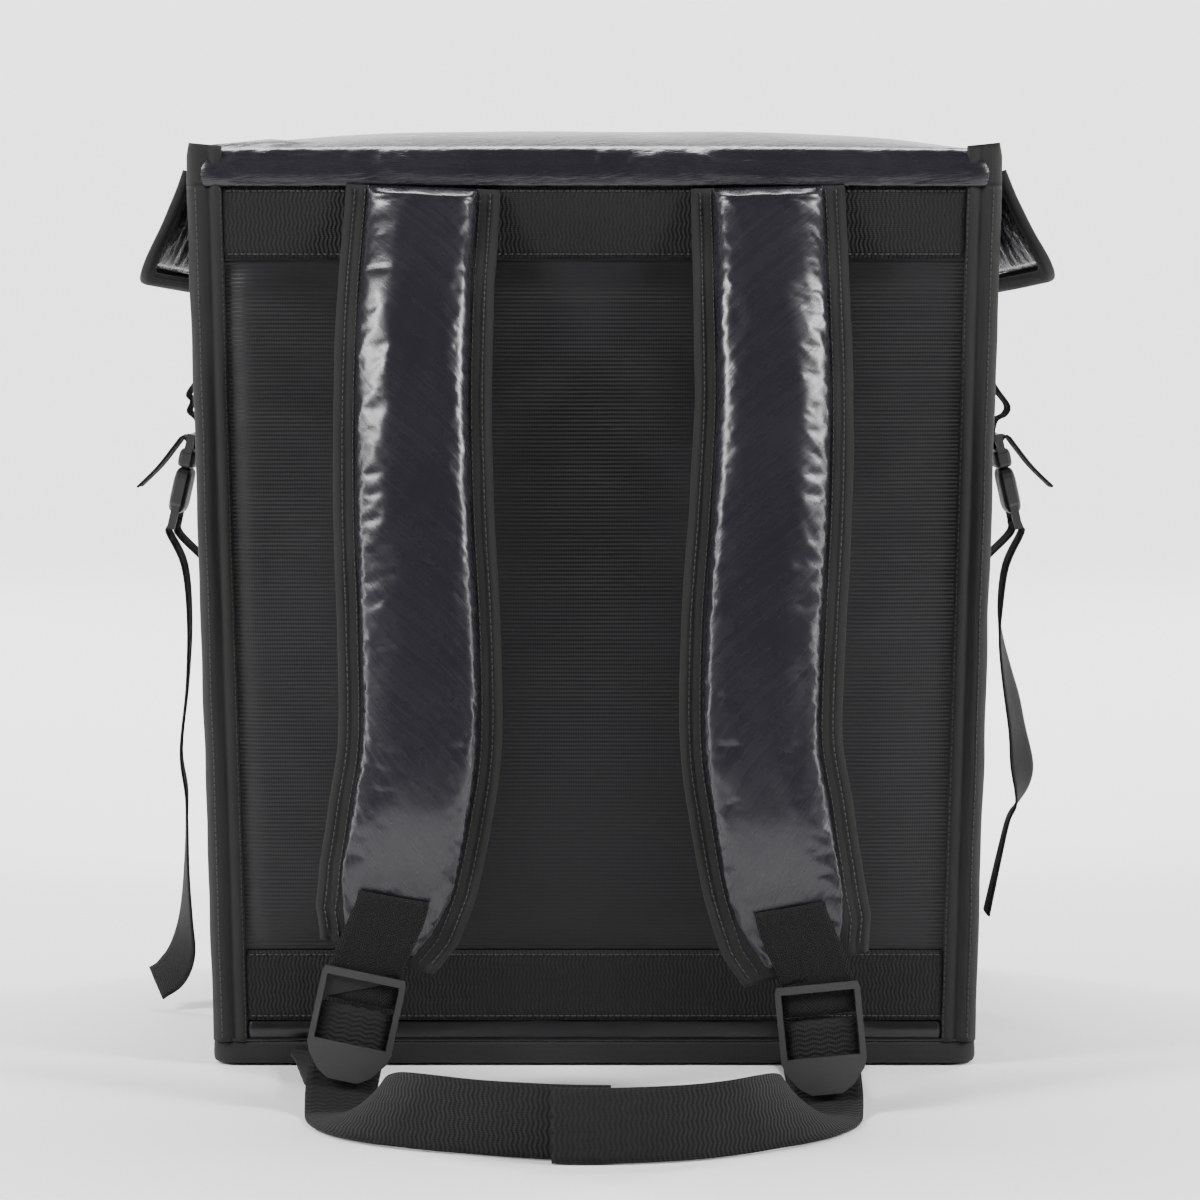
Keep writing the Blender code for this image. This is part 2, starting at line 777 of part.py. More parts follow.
def adjuster(lock, anchor, tail, side):
    """Webbing from the base seam through the buckle, then a tail on the floor."""
    floor_z = WEBBING_THICKNESS / 2 + 0.0006
    front = BAR_HIGH + WEB_OUT
    back = BAR_LOW - WEB_OUT
    over = BAR_B - WEB_OUT
    middle = (front + back) / 2
    foot = lock.at(0.0, LOCK_LENGTH, back)
    points = [anchor, anchor + Vector((0, -0.003, 0)), anchor + Vector((0, -0.007, -0.0008))]
    for t, rise in ((0.20, 0.0012), (0.34, 0.0), (0.60, 0.0), (0.82, 0.0012)):
        p = anchor.lerp(Vector((foot.x, foot.y, floor_z)), t)
        p.z = floor_z + rise
        points.append(p)
    for v, n in (
        (LOCK_LENGTH * 0.98, back - 0.0060),
        (LOCK_LENGTH * 0.78, back - 0.0008),
        (BAR_B + BAR_HEIGHT, back),
        (BAR_B + BAR_HEIGHT * 0.1, back),
        (over, middle - 0.0010),
        (over, middle + 0.0010),
        (BAR_B + BAR_HEIGHT * 0.1, front),
        (BAR_B + BAR_HEIGHT, front),
        (LOCK_LENGTH * 0.66, front),
        (LOCK_LENGTH * 0.86, front - 0.0008),
        (LOCK_LENGTH * 1.05, front - 0.0016),
    ):
        points.append(lock.at(0.0, v, n))
    widthwise = [lock.across] * len(points)
    rows = smooth_curve(
        [(s.centre * STRAP_SPREAD, -BAG_DEPTH / 2 - s.bow * STRAP_BOW, s.stand) for s in tail], 3
    )
    for i, (x, y, stand) in enumerate(rows):
        ahead = rows[min(i + 1, len(rows) - 1)]
        behind = rows[max(i - 1, 0)]
        heading = Vector((ahead[0] - behind[0], ahead[1] - behind[1], 0)).normalized()
        across = heading.cross(Vector((0, 0, 1)))
        turn = math.radians(90) * min(max(stand, 0.0), 1.0)
        rise = WEBBING_WIDTH / 2 * math.sin(turn) + WEBBING_THICKNESS / 2 * math.cos(turn)
        points.append(Vector((x, y, rise + 0.0006)))
        widthwise.append(across * math.cos(turn) + Vector((0, 0, side)) * math.sin(turn))
    for point, (across, normal) in zip(points, frames(points, widthwise)):
        reach = WEBBING_WIDTH / 2 * abs(across.z) + WEBBING_THICKNESS / 2 * abs(normal.z)
        point.z = max(point.z, reach + FLOOR_GAP)
    widths = [WEBBING_WIDTH] * len(points)
    return ribbon(points, widthwise, widths, WEBBING_THICKNESS)


def side_line():
    """How far from the middle the fastening buckles hang."""
    return side_wall(SIDE_BUCKLE_TOP) + SIDE_BUCKLE_OUT


def side_place(side):
    """Where the fastening buckle of one side lies."""
    tilt = SIDE_BUCKLE_TILT
    down = Vector((side * math.sin(tilt), 0, -math.cos(tilt)))
    out = Vector((side * math.cos(tilt), 0, math.sin(tilt)))
    top = Vector((side * side_line(), 0, SIDE_BUCKLE_TOP))
    return Hardware(top, down.cross(out), down, out)


SIDE_BAR = 0.0030
SIDE_BAR_THICKNESS = 0.0022
SIDE_RAIL = 0.0038
PLUG_BLOCK_FROM = 0.0090
PLUG_LENGTH = 0.0200


def side_buckle(side, name, from_v, to_v, bar_v, block_from, block_to):
    """Block with a barred window at one end, for a plug or for a socket."""
    at = side_place(side)
    half = SIDE_BUCKLE_WIDTH / 2
    thick = SIDE_BUCKLE_THICKNESS / 2
    taper = 0.0030
    outline = (
        (-half + taper, block_from),
        (half - taper, block_from),
        (half, block_from + taper),
        (half, block_to - taper),
        (half - taper, block_to),
        (-half + taper, block_to),
        (-half, block_to - taper),
        (-half, block_from + taper),
    )
    rings = []
    for n, slim in ((-thick, 0.88), (-thick * 0.6, 1.0), (thick * 0.5, 1.0), (thick, 0.84)):
        middle = (block_from + block_to) / 2
        rings.append([at.at(u * slim, middle + (v - middle) * slim, n) for u, v in outline])
    parts = [loft(rings)]
    for edge in (-1, 1):
        low, high = sorted((edge * (half - SIDE_RAIL), edge * (half - 0.0004)))
        rail = rectangle(low, high, from_v, to_v)
        parts.append(slab(at, rail, -thick * 0.5, thick * 0.45))
    bar = rectangle(-half + 0.001, half - 0.001, bar_v, bar_v + SIDE_BAR)
    parts.append(slab(at, bar, -SIDE_BAR_THICKNESS / 2, SIDE_BAR_THICKNESS / 2))
    return combined(parts, PLASTIC, name)


class SideStation(NamedTuple):
    """One height of a side strap that hangs clear of the wall."""

    height: float  # of BAG_HEIGHT
    out: float  # of SIDE_WEBBING_WIDTH, from the buckle's line
    twist: float  # of a quarter turn


SIDE_UPPER_LEFT = (
    SideStation(0.795, -0.33, 0.0),
    SideStation(0.762, 0.12, 0.0),
    SideStation(0.752, 0.03, 0.0),
    SideStation(0.739, 0.12, 0.0),
    SideStation(0.729, -0.06, 0.0),
)
SIDE_UPPER_RIGHT = (
    SideStation(0.795, -0.33, 0.0),
    SideStation(0.766, -0.01, 0.0),
    SideStation(0.746, 0.26, 0.0),
    SideStation(0.735, 0.19, 0.0),
    SideStation(0.729, -0.01, 0.0),
)
SIDE_TAIL_LEFT = (
    SideStation(0.550, 0.26, 0.00),
    SideStation(0.480, 0.16, 0.03),
    SideStation(0.400, 0.23, 0.05),
    SideStation(0.320, 0.38, 0.06),
    SideStation(0.265, 0.26, 0.05),
    SideStation(0.180, 0.28, 0.12),
    SideStation(0.115, 0.31, 0.25),
    SideStation(0.072, 0.40, 0.48),
    SideStation(0.046, 0.66, 0.66),
    SideStation(0.032, 1.02, 0.72),
)
SIDE_TAIL_RIGHT = (
    SideStation(0.550, 0.26, 0.00),
    SideStation(0.497, 0.14, 0.03),
    SideStation(0.460, 0.17, 0.11),
    SideStation(0.421, 0.30, 0.19),
    SideStation(0.385, 0.44, 0.27),
    SideStation(0.348, 0.56, 0.31),
    SideStation(0.312, 0.67, 0.40),
    SideStation(0.293, 0.70, 0.38),
    SideStation(0.275, 0.68, 0.27),
    SideStation(0.256, 0.57, 0.11),
    SideStation(0.238, 0.38, 0.05),
    SideStation(0.201, 0.21, 0.03),
    SideStation(0.120, -0.12, 0.00),
)


def side_points(side, stations, steps):
    """Points and width directions down a free side strap."""
    line = side_line()
    rows = [(line + s.out * SIDE_WEBBING_WIDTH, s.height * BAG_HEIGHT, s.twist) for s in stations]
    rows = smooth_curve(rows, steps)
    points = [Vector((side * out, 0, z)) for out, z, _ in rows]
    turns = [math.radians(90) * max(t, 0.0) for _, _, t in rows]
    across = [Vector((side * math.sin(a), math.cos(a), 0)) for a in turns]
    return points, across


SIDE_WEB_OUT = SIDE_BAR_THICKNESS / 2 + SIDE_WEBBING_THICKNESS / 2 + GAP
SEWN_OUT = SIDE_WEBBING_THICKNESS / 2 + GAP + 0.0001
UPPER_SEWN = (0.952, 0.905, 0.863, 0.825)
LOWER_SEWN = (0.432, 0.474, 0.516, 0.543)
SOCKET_BAR = SIDE_BUCKLE_LENGTH - SIDE_BAR


def side_upper(side, stations):
    """Webbing from under the wing to the plug, with its stiff free end."""
    at = side_place(side)
    points = []
    for z in (share * BAG_HEIGHT for share in UPPER_SEWN):
        points.append(Vector((side * (side_wall(z) + SEWN_OUT), 0, z)))
    loose, _ = side_points(side, stations, 2)
    points += loose
    reach = SIDE_WEB_OUT
    for v, n in (
        (-0.0010, -reach),
        (SIDE_BAR, -reach),
        (SIDE_BAR + reach * 0.8, -reach * 0.5),
        (SIDE_BAR + reach * 0.8, reach * 0.7),
        (SIDE_BAR * 0.8, reach + 0.0034),
        (0.0090, reach + 0.0068),
        (0.0230, reach + 0.0135),
        (0.0370, reach + 0.0225),
    ):
        points.append(at.at(0.0, v, n))
    across = [Vector((0, 1, 0))] * len(points)
    widths = [SIDE_WEBBING_WIDTH] * len(points)
    return ribbon(points, across, widths, SIDE_WEBBING_THICKNESS)


def side_lower(side, stations):
    """Webbing sewn to the wall, through the socket's bar, with its hanging tail."""
    at = side_place(side)
    reach = SIDE_WEB_OUT
    points = []
    for z in (share * BAG_HEIGHT for share in LOWER_SEWN):
        points.append(Vector((side * (side_wall(z) + SEWN_OUT), 0, z)))
    for v, n in (
        (SOCKET_BAR + SIDE_BAR + 0.0040, -reach - 0.0040),
        (SOCKET_BAR + SIDE_BAR * 0.8, -reach),
        (SOCKET_BAR, -reach),
        (SOCKET_BAR - reach * 0.8, -reach * 0.5),
        (SOCKET_BAR - reach * 0.8, reach * 0.5),
        (SOCKET_BAR, reach),
        (SOCKET_BAR + SIDE_BAR * 0.8, reach),
        (SOCKET_BAR + SIDE_BAR + 0.0030, reach + 0.0002),
    ):
        points.append(at.at(0.0, v, n))
    across = [Vector((0, 1, 0))] * len(points)
    loose, loose_across = side_points(side, stations, 2)
    points += loose
    across += loose_across
    widths = [SIDE_WEBBING_WIDTH] * len(points)
    return ribbon(points, across, widths, SIDE_WEBBING_THICKNESS)


add_object("body_shell", body_shell(), SHELL)
add_object("lid", lid(), GLOSS)
add_object("back_band_upper", back_band(UPPER_BAND_LOW), WEBBING)
add_object("back_band_lower", back_band(LOWER_BAND_LOW), WEBBING)

TAPE_LOW = BASE_BINDING_HEIGHT + GAP
LID_LOW = BAG_HEIGHT + GAP
for side, side_name in ((-1, "left"), (1, "right")):
    for face, face_name in ((-1, "back"), (1, "front")):
        tape = corner_tape(side, face, TAPE_LOW, BAG_HEIGHT - GAP, 0.0)
        add_object(f"edge_tape_{face_name}_{side_name}", tape, TAPE)
        tape = corner_tape(side, face, LID_LOW, BAG_HEIGHT + GUSSET_HEIGHT - 0.001, 0.003)
        add_object(f"lid_corner_tape_{face_name}_{side_name}", tape, TAPE)
    add_object(f"base_binding_{side_name}", base_binding(side, False), TAPE)
for face, face_name in ((-1, "back"), (1, "front")):
    add_object(f"base_binding_{face_name}", base_binding(face, True), TAPE)

for panel, panel_name in (
    (wing(-1, WING_FLARE_LEFT), "lid_wing_left"),
    (wing(1, WING_FLARE_RIGHT), "lid_wing_right"),
    (apron(), "lid_apron_front"),
):
    add_object(panel_name, hanging_panel(panel), GLOSS)
    add_object(panel_name + "_binding", hanging_binding(panel), TAPE)

ANCHOR_Y = -BAG_DEPTH / 2 - BASE_BINDING_THICKNESS - 2 * GAP
for side, side_name, stations, lock, patch_share, anchor_share, tail in (
    (-1, "left", STRAP_LEFT, LOCK_LEFT, 0.2492, -1.570, TAIL_LEFT),
    (1, "right", STRAP_RIGHT, LOCK_RIGHT, 0.2344, 1.290, TAIL_RIGHT),
):
    add_object(f"shoulder_strap_{side_name}", strap_backing(stations), TAPE)
    add_object(f"shoulder_pad_{side_name}", strap_pad(stations), GLOSS)
    ladder_lock(lock, f"ladder_lock_{side_name}")
    path = strap_patch(stations, lock, 0.0019, patch_share * STRAP_TOP)
    across = [lock.across] * len(path)
    patch = ribbon(path, across, [WEBBING_WIDTH] * len(path), WEBBING_THICKNESS)
    add_object(f"strap_patch_{side_name}", patch, WEBBING)
    anchor = Vector((anchor_share * STRAP_SPREAD, ANCHOR_Y, 0.4 * BASE_BINDING_HEIGHT))
    add_object(f"adjuster_webbing_{side_name}", adjuster(lock, anchor, tail, side), WEBBING)

for side, side_name, upper, lower in (
    (-1, "left", SIDE_UPPER_LEFT, SIDE_TAIL_LEFT),
    (1, "right", SIDE_UPPER_RIGHT, SIDE_TAIL_RIGHT),
):
    plug_to = PLUG_LENGTH
    side_buckle(side, f"side_plug_{side_name}", 0.0, 0.012, 0.0, PLUG_BLOCK_FROM, plug_to)
    block_to = SOCKET_BAR - 0.0065
    side_buckle(
        side,
        f"side_socket_{side_name}",
        block_to - 0.004,
        SIDE_BUCKLE_LENGTH,
        SOCKET_BAR,
        plug_to + GAP,
        block_to,
    )
    add_object(f"side_strap_upper_{side_name}", side_upper(side, upper), WEBBING)
    add_object(f"side_strap_lower_{side_name}", side_lower(side, lower), WEBBING)
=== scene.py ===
"""Looks of an insulated delivery backpack that stands closed on its base."""

import logging
import math
from dataclasses import dataclass, field
from enum import Enum
from typing import Any, Callable, Optional, Sequence, Union

import bmesh
import bpy
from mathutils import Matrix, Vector, noise


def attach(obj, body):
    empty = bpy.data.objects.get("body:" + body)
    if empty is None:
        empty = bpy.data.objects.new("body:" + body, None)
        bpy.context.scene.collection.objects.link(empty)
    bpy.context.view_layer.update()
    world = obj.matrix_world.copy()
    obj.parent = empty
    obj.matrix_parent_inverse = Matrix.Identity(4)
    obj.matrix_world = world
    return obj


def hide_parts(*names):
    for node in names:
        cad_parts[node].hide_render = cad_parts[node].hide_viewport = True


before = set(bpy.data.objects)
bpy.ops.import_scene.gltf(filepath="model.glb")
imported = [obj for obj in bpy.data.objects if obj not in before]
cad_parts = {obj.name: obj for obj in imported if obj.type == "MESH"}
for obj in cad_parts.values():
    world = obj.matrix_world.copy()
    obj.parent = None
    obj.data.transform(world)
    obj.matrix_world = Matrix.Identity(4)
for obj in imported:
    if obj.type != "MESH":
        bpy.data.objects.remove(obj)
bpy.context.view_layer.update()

LOG = logging.getLogger("backpack")
BODY = "root"
UP = Vector((0, 0, 1))
RIGHT = Vector((1, 0, 0))

Place = Callable[[float, float], Vector]
Measure = Callable[[float, float], tuple[float, float]]
Number = Union[int, float, "Level"]


class Slot(Enum):
    """Material slots of the record."""

    CLOTH = "coated_cloth"
    GLOSS = "gloss_cloth"
    TAPE = "binding_tape"
    WEBBING = "webbing"
    PLASTIC = "buckle_plastic"


class Side(Enum):
    """The two sides of the bag, seen from the worn side."""

    LEFT = -1
    RIGHT = 1

    @property
    def word(self) -> str:
        """The side's name inside node names."""
        return "left" if self is Side.LEFT else "right"


@dataclass(frozen=True)
class Sizes:
    """Named sizes that the pieces share with the solids, in metres."""

    gap: float = 0.0003
    bag_height: float = 0.475
    top_width: float = 0.430
    bottom_width: float = 0.408
    bag_depth: float = 0.320
    wall: float = 0.008
    corner_radius: float = 0.010
    edge_radius: float = 0.006
    side_bulge: float = 0.010
    front_bulge: float = 0.008
    flat_run: float = 0.03
    flat_base: float = 0.04
    gusset: float = 0.0195
    lid_dome: float = 0.0145
    lid_fullness: int = 4
    wing_hang: float = 0.066
    wing_thickness: float = 0.005
    wing_top: float = 0.483
    wing_depth: float = 0.290
    wing_corner: float = 0.024
    wing_binding: float = 0.011
    apron_width: float = 0.392
    tape_face: float = 0.0165
    tape_side: float = 0.014
    tape_thickness: float = 0.0026
    tape_ridge: float = 0.0012
    base_height: float = 0.013
    base_thickness: float = 0.003
    band_height: float = 0.038
    band_thickness: float = 0.0016
    upper_band: float = 0.436
    lower_band: float = 0.025
    strap_width: float = 0.082
    strap_thickness: float = 0.004
    strap_bow: float = 0.108
    strap_spread: float = 0.093
    strap_top: float = 0.4735
    pad_width: float = 0.058
    pad_thickness: float = 0.009
    pad_end: float = 0.945
    webbing_width: float = 0.0365
    webbing_thickness: float = 0.0016
    floor_gap: float = 0.0008
    lock_width: float = 0.0435
    lock_length: float = 0.056
    side_webbing_width: float = 0.025
    side_webbing_thickness: float = 0.0014


SIZES = Sizes()


class Level:
    """A number socket that takes part in Python expressions."""

    def __init__(self, tree: "FinishTree", socket: bpy.types.NodeSocket) -> None:
        """Keeps the socket and the tree that it belongs to."""
        self.tree = tree
        self.socket = socket

    def __add__(self, other: Number) -> "Level":
        """Sum."""
        return self.tree.math("ADD", self, other)

    def __radd__(self, other: Number) -> "Level":
        """Sum with a number on the left."""
        return self.tree.math("ADD", other, self)

    def __sub__(self, other: Number) -> "Level":
        """Difference."""
        return self.tree.math("SUBTRACT", self, other)

    def __rsub__(self, other: Number) -> "Level":
        """Difference from a number on the left."""
        return self.tree.math("SUBTRACT", other, self)

    def __mul__(self, other: Number) -> "Level":
        """Product."""
        return self.tree.math("MULTIPLY", self, other)

    def __rmul__(self, other: Number) -> "Level":
        """Product with a number on the left."""
        return self.tree.math("MULTIPLY", other, self)

    def __truediv__(self, other: Number) -> "Level":
        """Quotient."""
        return self.tree.math("DIVIDE", self, other)

    def __pow__(self, other: Number) -> "Level":
        """Power."""
        return self.tree.math("POWER", self, other)

    def sine(self) -> "Level":
        """Sine."""
        return self.tree.math("SINE", self)

    def fraction(self) -> "Level":
        """Part after the point."""
        return self.tree.math("FRACT", self)

    def size(self) -> "Level":
        """Absolute value."""
        return self.tree.math("ABSOLUTE", self)

    def limited(self) -> "Level":
        """The value kept from 0 to 1."""
        return self.tree.math("MAXIMUM", self.tree.math("MINIMUM", self, 1.0), 0.0)


class FinishTree:
    """The node tree of one finish."""

    def __init__(self, name: str) -> None:
        """Makes the material with its shader."""
        self.made = bpy.data.materials.new(name)
        self.made.use_nodes = True
        self.nodes = self.made.node_tree.nodes
        self.links = self.made.node_tree.links
        self.shader = self.nodes["Principled BSDF"]

    def node(
        self, kind: str, settings: Optional[dict] = None, inputs: Optional[dict] = None
    ) -> bpy.types.Node:
        """Adds a node.

        Args:
            kind: The node's type.
            settings: Its properties; "stops" gives a ramp's places and greys.
            inputs: Values or links by socket name or number.

        Returns:
            The new node.
        """
        made = self.nodes.new(kind)
        for key, value in (settings or {}).items():
            if key == "stops":
                ramp = made.color_ramp
                while len(ramp.elements) < len(value):
                    ramp.elements.new(0.5)
                for element, (place, grey) in zip(ramp.elements, value):
                    element.position = place
                    element.color = (grey, grey, grey, 1.0)
            else:
                setattr(made, key, value)
        for key, value in (inputs or {}).items():
            self.feed(made.inputs[key], value)
        return made

    def feed(self, socket: bpy.types.NodeSocket, value: Any) -> None:
        """Sets a socket, or links it to another one."""
        if isinstance(value, Level):
            self.links.new(value.socket, socket)
        elif isinstance(value, bpy.types.NodeSocket):
            self.links.new(value, socket)
        else:
            socket.default_value = value

    def math(self, operation: str, *values: Number) -> Level:
        """One Math node's result."""
        made = self.node("ShaderNodeMath", {"operation": operation}, dict(enumerate(values)))
        return Level(self, made.outputs[0])

    def lengthwise(self) -> tuple[Level, Level]:
        """Distances across and along the piece, in metres, from its UV map."""
        read = self.node("ShaderNodeUVMap", {"uv_map": "UVMap"})
        split = self.node("ShaderNodeSeparateXYZ", None, {0: read.outputs[0]})
        return Level(self, split.outputs[0]), Level(self, split.outputs[1])

    def place(self, scale: Sequence[float] = (1, 1, 1), turn: Sequence[float] = (0, 0, 0)) -> Any:
        """Object coordinates, stretched and turned."""
        read = self.node("ShaderNodeTexCoord")
        moved = self.node(
            "ShaderNodeMapping", None, {"Vector": read.outputs["Object"], "Scale": scale, "Rotation": turn}
        )
        return moved.outputs[0]

    def flat_place(self, scale: Sequence[float], turn: float = 0.0) -> Any:
        """The piece's UV map, turned and then stretched."""
        read = self.node("ShaderNodeUVMap", {"uv_map": "UVMap"})
        turned = self.node(
            "ShaderNodeMapping", None, {"Vector": read.outputs[0], "Rotation": (0, 0, turn)}
        )
        moved = self.node("ShaderNodeMapping", None, {"Vector": turned.outputs[0], "Scale": scale})
        return moved.outputs[0]

    def noise(self, vector: Any, scale: float, detail: float = 3.0, rough: float = 0.5) -> Level:
        """Noise from 0 to 1."""
        made = self.node(
            "ShaderNodeTexNoise",
            None,
            {"Vector": vector, "Scale": scale, "Detail": detail, "Roughness": rough},
        )
        return Level(self, made.outputs[0])

    def cells(self, vector: Any, scale: float) -> Level:
        """Distance to the nearest cell edge."""
        made = self.node(
            "ShaderNodeTexVoronoi",
            {"feature": "DISTANCE_TO_EDGE"},
            {"Vector": vector, "Scale": scale},
        )
        return Level(self, made.outputs[0])

    def blend(self, share: Level, low: Sequence[float], high: Sequence[float]) -> Any:
        """A colour between two colours."""
        made = self.node(
            "ShaderNodeMix",
            {"data_type": "RGBA"},
            {0: share, 6: (*low, 1.0), 7: (*high, 1.0)},
        )
        return made.outputs[2]

    def relief(self, height: Level, depth: float, strength: float = 1.0) -> Any:
        """A Bump node's normal for a height from 0 to 1 that is depth metres deep."""
        made = self.node(
            "ShaderNodeBump", None, {"Strength": strength, "Distance": depth, "Height": height}
        )
        return made.outputs[0]

    def settle(self, **values: Any) -> bpy.types.Material:
        """Feeds the shader's own sockets and returns the material.

        Args:
            values: Sockets by name, with _ for a space.

        Returns:
            The material.
        """
        for key, value in values.items():
            self.feed(self.shader.inputs[key.replace("_", " ")], value)
        return self.made


@dataclass(frozen=True)
class RibbedCloth:
    """Coated cloth with fine ribs across it, as on the back panel."""

    name: str = "ribbed_coated_cloth"
    dark: tuple[float, float, float] = (0.0058, 0.0058, 0.0066)
    light: tuple[float, float, float] = (0.0135, 0.0135, 0.0148)
    pitch: float = 0.0022

    def material(self) -> bpy.types.Material:
        """Builds the finish."""
        tree = FinishTree(self.name)
        across, along = tree.lengthwise()
        wide = tree.noise(tree.place((1, 1, 1)), 14.0, 2.0)
        drift = tree.noise(tree.flat_place((9.0, 150.0, 1.0)), 1.0, 2.0)
        rib = ((along * (2 * math.pi / self.pitch)) + wide * 2.0).sine() * 0.5 + 0.5
        thread = ((across * (2 * math.pi / (self.pitch * 0.6))).sine() * 0.5) + 0.5
        strong = (drift * 1.6 - 0.3).limited()
        height = rib * (0.35 + strong * 0.65) + thread * 0.18
        crease = tree.noise(tree.place((1, 1, 0.6)), 60.0, 4.0)
        height = height * 0.7 + crease * 0.5
        colour = tree.blend((rib * strong * 0.7 + wide * 0.3).limited(), self.dark, self.light)
        rough = 0.38 + wide * 0.14 + (1 - rib) * 0.06
        return tree.settle(
            Base_Color=colour,
            Roughness=rough,
            Specular_IOR_Level=0.30,
            Normal=tree.relief(height, 0.00035, 0.8),
        )


@dataclass(frozen=True)
class GlossCloth:
    """Smooth shiny coated cloth that creases finely."""

    name: str = "gloss_coated_cloth"
    dark: tuple[float, float, float] = (0.0085, 0.0080, 0.0115)
    light: tuple[float, float, float] = (0.0165, 0.0158, 0.0215)
    rough: float = 0.27
    streaks: float = 0.9
    crinkle: float = 0.08
    depth: float = 0.0006

    def material(self) -> bpy.types.Material:
        """Builds the finish."""
        tree = FinishTree(self.name)
        wide = tree.noise(tree.place(), 22.0, 3.0)
        fine = tree.noise(tree.place(), 160.0, 4.0, 0.6)
        streak = tree.noise(tree.flat_place((18.0, 420.0, 1.0), self.streaks), 1.0, 2.0, 0.5)
        crease = tree.noise(tree.flat_place((40.0, 130.0, 1.0), -0.5), 1.0, 3.0, 0.6)
        sharp = (1 - (crease - 0.5).size() * 5.0).limited()
        grain = tree.cells(tree.place(), 900.0)
        height = fine * self.crinkle + streak * 0.22 + sharp * self.crinkle + grain * 0.06 + wide * 0.3
        colour = tree.blend((wide * 0.7 + streak * 0.3).limited(), self.dark, self.light)
        rough = self.rough + (fine - 0.5) * 0.10 + (streak - 0.5) * 0.16 + (wide - 0.5) * 0.10
        return tree.settle(
            Base_Color=colour,
            Roughness=rough,
            Specular_IOR_Level=0.48,
            Normal=tree.relief(height, self.depth, 0.55),
        )


@dataclass(frozen=True)
class BindingTape:
    """Matte woven tape with fine ribs along it."""

    name: str = "binding_tape"
    dark: tuple[float, float, float] = (0.0070, 0.0070, 0.0067)
    light: tuple[float, float, float] = (0.0200, 0.0200, 0.0192)
    pitch: float = 0.0009

    def material(self) -> bpy.types.Material:
        """Builds the finish."""
        tree = FinishTree(self.name)
        across, along = tree.lengthwise()
        wide = tree.noise(tree.place(), 30.0, 3.0)
        rib = (across * (2 * math.pi / self.pitch)).sine() * 0.5 + 0.5
        thread = (along * (2 * math.pi / (self.pitch * 0.8))).sine() * 0.5 + 0.5
        fluff = tree.noise(tree.place(), 700.0, 3.0, 0.7)
        height = rib * 0.4 + thread * 0.3 + fluff * 0.5
        colour = tree.blend((height * 0.6 + wide * 0.4).limited(), self.dark, self.light)
        return tree.settle(
            Base_Color=colour,
            Roughness=0.66 + fluff * 0.16,
            Specular_IOR_Level=0.22,
            Sheen_Weight=0.03,
            Sheen_Roughness=0.5,
            Normal=tree.relief(height, 0.00022, 0.8),
        )


@dataclass(frozen=True)
class WovenWebbing:
    """Heavy webbing whose ribs lean to and fro across its length."""

    name: str = "woven_webbing"
    dark: tuple[float, float, float] = (0.0045, 0.0045, 0.0043)
    light: tuple[float, float, float] = (0.0170, 0.0170, 0.0164)
    pitch: float = 0.0025
    lean: float = 0.16
    column: float = 0.0076
    depth: float = 0.0007

    def material(self) -> bpy.types.Material:
        """Builds the finish."""
        tree = FinishTree(self.name)
        across, along = tree.lengthwise()
        zigzag = ((across / self.column).fraction() - 0.5).size() * (self.column * self.lean * 2)
        wobble = tree.noise(tree.place(), 90.0, 2.0)
        rib = ((along + zigzag + wobble * 0.0007) * (2 * math.pi / self.pitch)).sine() * 0.5 + 0.5
        yarn = (across * (2 * math.pi / 0.0011)).sine() * 0.5 + 0.5
        fluff = tree.noise(tree.place(), 800.0, 3.0, 0.7)
        wide = tree.noise(tree.place(), 24.0, 2.0)
        height = rib * 0.62 + yarn * 0.22 + fluff * 0.25
        colour = tree.blend((height * 0.75 + wide * 0.25).limited(), self.dark, self.light)
        return tree.settle(
            Base_Color=colour,
            Roughness=0.72 + fluff * 0.12,
            Specular_IOR_Level=0.18,
            Sheen_Weight=0.03,
            Sheen_Roughness=0.5,
            Normal=tree.relief(height, self.depth, 0.85),
        )


@dataclass(frozen=True)
class MouldedPlastic:
    """Fine-grained matte plastic of the buckles."""

    name: str = "moulded_plastic"
    dark: tuple[float, float, float] = (0.0170, 0.0170, 0.0175)
    light: tuple[float, float, float] = (0.0270, 0.0270, 0.0278)

    def material(self) -> bpy.types.Material:
        """Builds the finish."""
        tree = FinishTree(self.name)
        grain = tree.noise(tree.place(), 1500.0, 3.0, 0.6)
        wide = tree.noise(tree.place(), 60.0, 2.0)
        scuff = tree.noise(tree.place((1, 1, 8), (0.3, 0.5, 0.2)), 120.0, 3.0, 0.7)
        return tree.settle(
            Base_Color=tree.blend((wide * 0.6 + scuff * 0.4).limited(), self.dark, self.light),
            Roughness=0.40 + (scuff - 0.5) * 0.18 + grain * 0.08,
            Specular_IOR_Level=0.5,
            Normal=tree.relief(grain, 0.00008, 0.7),
        )


@dataclass(frozen=True)
class SewingThread:
    """Twisted polyester thread."""

    name: str = "sewing_thread"
    dark: tuple[float, float, float] = (0.012, 0.012, 0.012)
    light: tuple[float, float, float] = (0.030, 0.030, 0.031)

    def material(self) -> bpy.types.Material:
        """Builds the finish."""
        tree = FinishTree(self.name)
        ply = tree.noise(tree.place(), 2600.0, 2.0)
        return tree.settle(
            Base_Color=tree.blend(ply, self.dark, self.light),
            Roughness=0.45 + ply * 0.1,
            Specular_IOR_Level=0.45,
            Normal=tree.relief(ply, 0.0001, 0.5),
        )


@dataclass(frozen=True)
class StudioPaper:
    """Pale plain floor."""

    name: str = "studio_paper"
    tone: tuple[float, float, float] = (0.95, 0.95, 0.95)

    def material(self) -> bpy.types.Material:
        """Builds the finish."""
        tree = FinishTree(self.name)
        return tree.settle(Base_Color=(*self.tone, 1.0), Roughness=0.9, Specular_IOR_Level=0.1)


